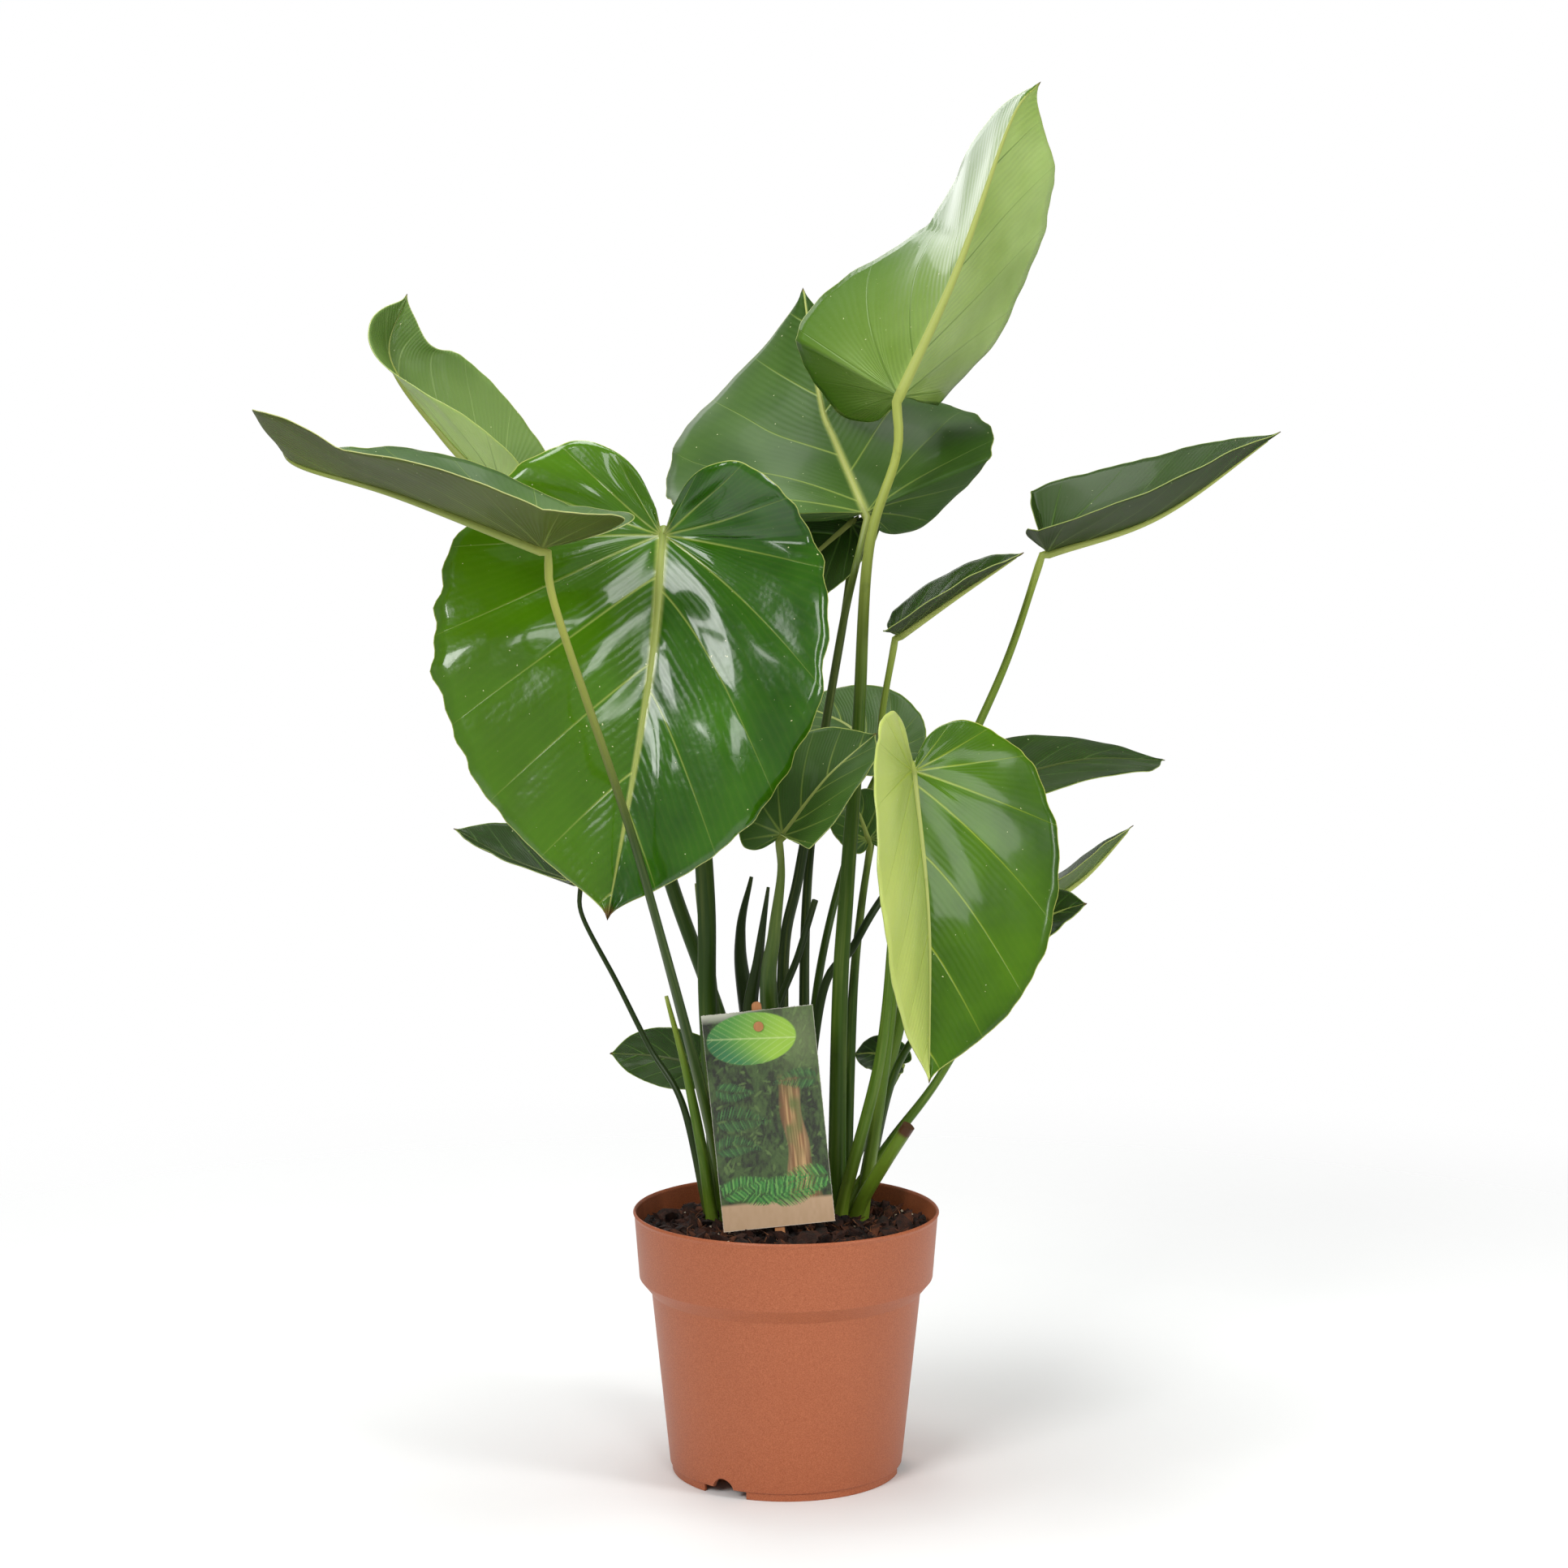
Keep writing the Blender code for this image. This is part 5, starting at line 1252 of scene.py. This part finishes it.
def colour_prop(name, description, default):
    return FloatVectorProperty(name=name, description=description, default=linear(default)[:3], subtype="COLOR",
                               min=0, max=1)


def place_prop(name, description, default):
    return FloatVectorProperty(name=name, description=description, default=default, subtype="TRANSLATION", unit="LENGTH")


class PLANT_PG_leaves(bpy.types.PropertyGroup):
    thickness: length_prop("Thickness", "How thick each leaf blade is", 0.0005)
    rows: IntProperty(name="Rows", description="Mesh rows round each half of a leaf", default=110, min=24, max=300)
    columns: IntProperty(name="Columns", description="Mesh columns from midrib to margin", default=22, min=6, max=80)
    veins: number_prop("Veins", "Main side veins on each half", 9.0, 2, 30)
    vein_sweep: number_prop("Vein sweep", "How much side veins bend towards the tip", 1.12, 1, 3)
    quilting: length_prop("Quilting", "How far the blade rises between veins", 0.0034)
    swell: length_prop("Swell", "How far the whole blade rises and dips", 0.0030)
    raggedness: number_prop("Raggedness", "How uneven the margin is, as a share of the half width", 0.006, 0, 0.05)
    waviness: length_prop("Waviness", "How far the margin waves", 0.0012)
    waves: number_prop("Waves", "Waves along each margin", 3.0, 0, 20)


class PLANT_PG_pot(bpy.types.PropertyGroup):
    base_radius: length_prop("Base radius", "Outer radius just above the foot", 0.0722)
    wall: length_prop("Wall", "Thickness of the wall", 0.0022)
    collar_height: length_prop("Collar height", "Height of the wide band at the top", 0.042)
    collar_taper: length_prop("Collar taper", "How much narrower the collar is at its lower edge", 0.004)
    step_drop: length_prop("Step drop", "Height of the slope under the collar", 0.009)
    step_in: length_prop("Step in", "How far the wall stands in under the collar", 0.0075)
    skirt: length_prop("Skirt", "Height of the floor above the ground", 0.014)
    foot_height: length_prop("Foot height", "Height of the foot ring", 0.005)
    foot_inset: length_prop("Foot inset", "How far the foot ring stands in", 0.0013)
    foot_width: length_prop("Foot width", "From the wall's outside to the foot ring's inside", 0.0036)
    dark: colour_prop("Dark speck", "The darker tone of the plastic", "#9c502c")
    light: colour_prop("Light speck", "The lighter tone of the plastic", "#b86a42")
    gap_angle: number_prop("Gap angle", "Where the first gap in the foot ring is, in degrees", 238.0, 0, 360)


class PLANT_PG_soil(bpy.types.PropertyGroup):
    lumps: length_prop("Lumps", "How far the soil's surface rises and falls", 0.0052)


class PLANT_PG_label(bpy.types.PropertyGroup):
    width: length_prop("Width", "Width of the card", 0.068)
    height: length_prop("Height", "Height of the card", 0.1322)
    thickness: length_prop("Thickness", "Thickness of the card", 0.0008)
    foot: place_prop("Foot", "Middle of the card's lower edge, from the middle of the soil", (-0.004, -0.040, 0.011))
    tilt: angle_prop("Tilt", "How far the card leans sideways", 6)
    lean: angle_prop("Lean", "How far the card leans back", 4)
    stick_width: length_prop("Stick width", "Width of the stick", 0.006)
    stick_thickness: length_prop("Stick thickness", "Thickness of the stick", 0.0024)
    stick_above: length_prop("Stick above", "How far the stick stands above the card", 0.005)
    stick_depth: length_prop("Stick depth", "How far the stick goes below the card", 0.060)
    peg_down: length_prop("Peg down", "From the card's top edge to its peg", 0.0099)


class PLANT_PG_stage(bpy.types.PropertyGroup):
    camera: place_prop("Camera", "Where the camera stands", (-0.0013, -1.8, 0.579))
    pitch: angle_prop("Pitch", "How far the camera looks down", 4.82)
    lens: number_prop("Lens", "Focal length in millimetres", 67.66, 10, 300)
    floor: colour_prop("Floor", "Colour of the floor", "#fbfcfb")


GROUPS = (("plant_leaves", PLANT_PG_leaves), ("plant_pot", PLANT_PG_pot), ("plant_soil", PLANT_PG_soil),
          ("plant_label", PLANT_PG_label), ("plant_stage", PLANT_PG_stage))


# --- operators --------------------------------------------------------------------------------

class PLANT_OT_pot(bpy.types.Operator):
    """Build the stepped nursery pot"""
    bl_idname = "plant.pot"
    bl_label = "Pot"

    def execute(self, context):
        make_pot(context.scene.plant_pot)
        return {"FINISHED"}


class PLANT_OT_soil(bpy.types.Operator):
    """Build the soil with its bark, fibres and grit"""
    bl_idname = "plant.soil"
    bl_label = "Soil"

    def execute(self, context):
        make_soil(context.scene.plant_soil)
        return {"FINISHED"}


class PLANT_OT_stalks(bpy.types.Operator):
    """Build the crowns, and the stalks with their midribs"""
    bl_idname = "plant.stalks"
    bl_label = "Stalks"

    def execute(self, context):
        tree = sweep_tree()
        finishes = {name: stalk_finish(name) for name in STALK_FINISHES}
        for crown in CROWNS:
            make_crown(crown, tree, finishes["old"])
        for stalk in STALKS:
            make_stalk(stalk, tree, finishes)
        return {"FINISHED"}


class PLANT_OT_leaves(bpy.types.Operator):
    """Build the leaf blades"""
    bl_idname = "plant.leaves"
    bl_label = "Leaves"

    def execute(self, context):
        finishes = {name: leaf_finish(name) for name in LEAF_FINISHES}
        for leaf in LEAVES:
            make_leaf(leaf, context.scene.plant_leaves, finishes)
        return {"FINISHED"}


class PLANT_OT_label(bpy.types.Operator):
    """Build the care label on its stick"""
    bl_idname = "plant.label"
    bl_label = "Label"

    def execute(self, context):
        make_label(context.scene.plant_label)
        return {"FINISHED"}


def floor_finish(colour):
    """Matte white floor paint that fades into the studio's own white towards the floor's rim."""
    made, tree = new_finish("matte_floor_paint")
    paint = node(tree, "ShaderNodeBsdfPrincipled",
                 {"Roughness": 0.9, "Base Color": (*colour, 1), "Specular IOR Level": 0.1})
    clear = node(tree, "ShaderNodeBsdfTransparent")
    place = node(tree, "ShaderNodeTexCoord").outputs["Object"]
    reach = node(tree, "ShaderNodeVectorMath", {"operation": "LENGTH"}, {0: place}).outputs["Value"]
    fade = node(tree, "ShaderNodeMapRange", {"interpolation_type": "SMOOTHSTEP", "From Min": 0.45, "From Max": 1.3},
                {"Value": reach})
    blend = node(tree, "ShaderNodeMixShader", {}, {0: fade.outputs[0], 1: paint.outputs[0], 2: clear.outputs[0]})
    finish_output(tree, blend)
    return made


def studio_air():
    """A white backdrop whose light is dim, dimmest overhead, so that the softboxes shape the plant."""
    world = bpy.data.worlds.new("white_studio")
    world.use_nodes = True
    tree = world.node_tree
    aim = node(tree, "ShaderNodeSeparateXYZ", {}, {0: node(tree, "ShaderNodeTexCoord").outputs["Generated"]})
    dim = node(tree, "ShaderNodeMapRange",
               {"interpolation_type": "SMOOTHSTEP", "From Min": 0.19, "From Max": 0.34, "To Min": 0.42, "To Max": 0.2},
               {"Value": aim.outputs[2]})
    seen = node(tree, "ShaderNodeLightPath").outputs["Is Camera Ray"]
    bright = maths(tree, "MAXIMUM", dim.outputs[0], seen)
    tree.links.new(bright, tree.nodes["Background"].inputs[1])
    tree.nodes["Background"].inputs[0].default_value = (1, 1, 1, 1)
    return world


def add_light(name, place, height, size, power):
    """A white softbox aimed at the plant's own axis at a height."""
    data = bpy.data.lights.new(name, "AREA")
    data.shape = "RECTANGLE"
    data.size, data.size_y = size
    data.energy = power
    made = new_object(name, data)
    made.location = place
    made.rotation_euler = (Vector((0, 0, height)) - Vector(place)).to_track_quat("-Z", "Y").to_euler()


class PLANT_OT_stage(bpy.types.Operator):
    """Set the floor, the studio lights and the camera"""
    bl_idname = "plant.stage"
    bl_label = "Stage"

    def execute(self, context):
        sizes = context.scene.plant_stage
        bm = bmesh.new()
        bmesh.ops.create_circle(bm, cap_ends=True, segments=96, radius=1.5)
        floor = mesh_object("studio_floor", bm)
        floor.data.materials.append(floor_finish(tuple(sizes.floor)))
        add_light("softbox_left", (-1.25, -2.0, 1.75), 0.4, (0.9, 0.9), 33)
        add_light("softbox_right", (1.9, -1.1, 1.3), 0.4, (0.5, 1.1), 20)
        add_light("softbox_front", (0.5, -2.2, 1.75), 0.4, (0.45, 0.8), 9)
        add_light("softbox_top", (-0.1, 0.1, 2.3), 0.3, (1.2, 1.2), 30)
        add_light("softbox_back", (-0.7, 1.9, 1.5), 0.5, (1.2, 0.8), 9)
        context.scene.world = studio_air()
        context.scene.view_settings.view_transform = "Standard"
        data = bpy.data.cameras.new("front_camera")
        data.sensor_width = 36
        data.lens = sizes.lens
        camera = new_object("front_camera", data)
        camera.location = sizes.camera
        camera.rotation_euler = (math.pi / 2 - sizes.pitch, 0, 0)
        context.scene.camera = camera
        return {"FINISHED"}


OPERATORS = (PLANT_OT_pot, PLANT_OT_soil, PLANT_OT_stalks, PLANT_OT_leaves, PLANT_OT_label, PLANT_OT_stage)


class PLANT_PT_panel(bpy.types.Panel):
    """Sizes of the plant, and one button for each group of pieces"""
    bl_idname = "PLANT_PT_panel"
    bl_label = "Potted Plant"
    bl_space_type = "VIEW_3D"
    bl_region_type = "UI"
    bl_category = "Plant"

    def draw(self, context):
        for key, group in GROUPS:
            box = self.layout.box()
            box.label(text=key.replace("plant_", "").title())
            for name in group.__annotations__:
                box.prop(getattr(context.scene, key), name)
        for operator in OPERATORS:
            self.layout.operator(operator.bl_idname)


CLASSES = (*[group for _, group in GROUPS], *OPERATORS, PLANT_PT_panel)


def register():
    for each in CLASSES:
        bpy.utils.register_class(each)
    for key, group in GROUPS:
        setattr(bpy.types.Scene, key, PointerProperty(type=group))


def unregister():
    for key, _ in GROUPS:
        delattr(bpy.types.Scene, key)
    for each in reversed(CLASSES):
        bpy.utils.unregister_class(each)


def main():
    register()
    bpy.ops.plant.stage()
    bpy.ops.plant.pot()
    bpy.ops.plant.soil()
    bpy.ops.plant.stalks()
    bpy.ops.plant.leaves()
    bpy.ops.plant.label()


if __name__ == "__main__":
    main()
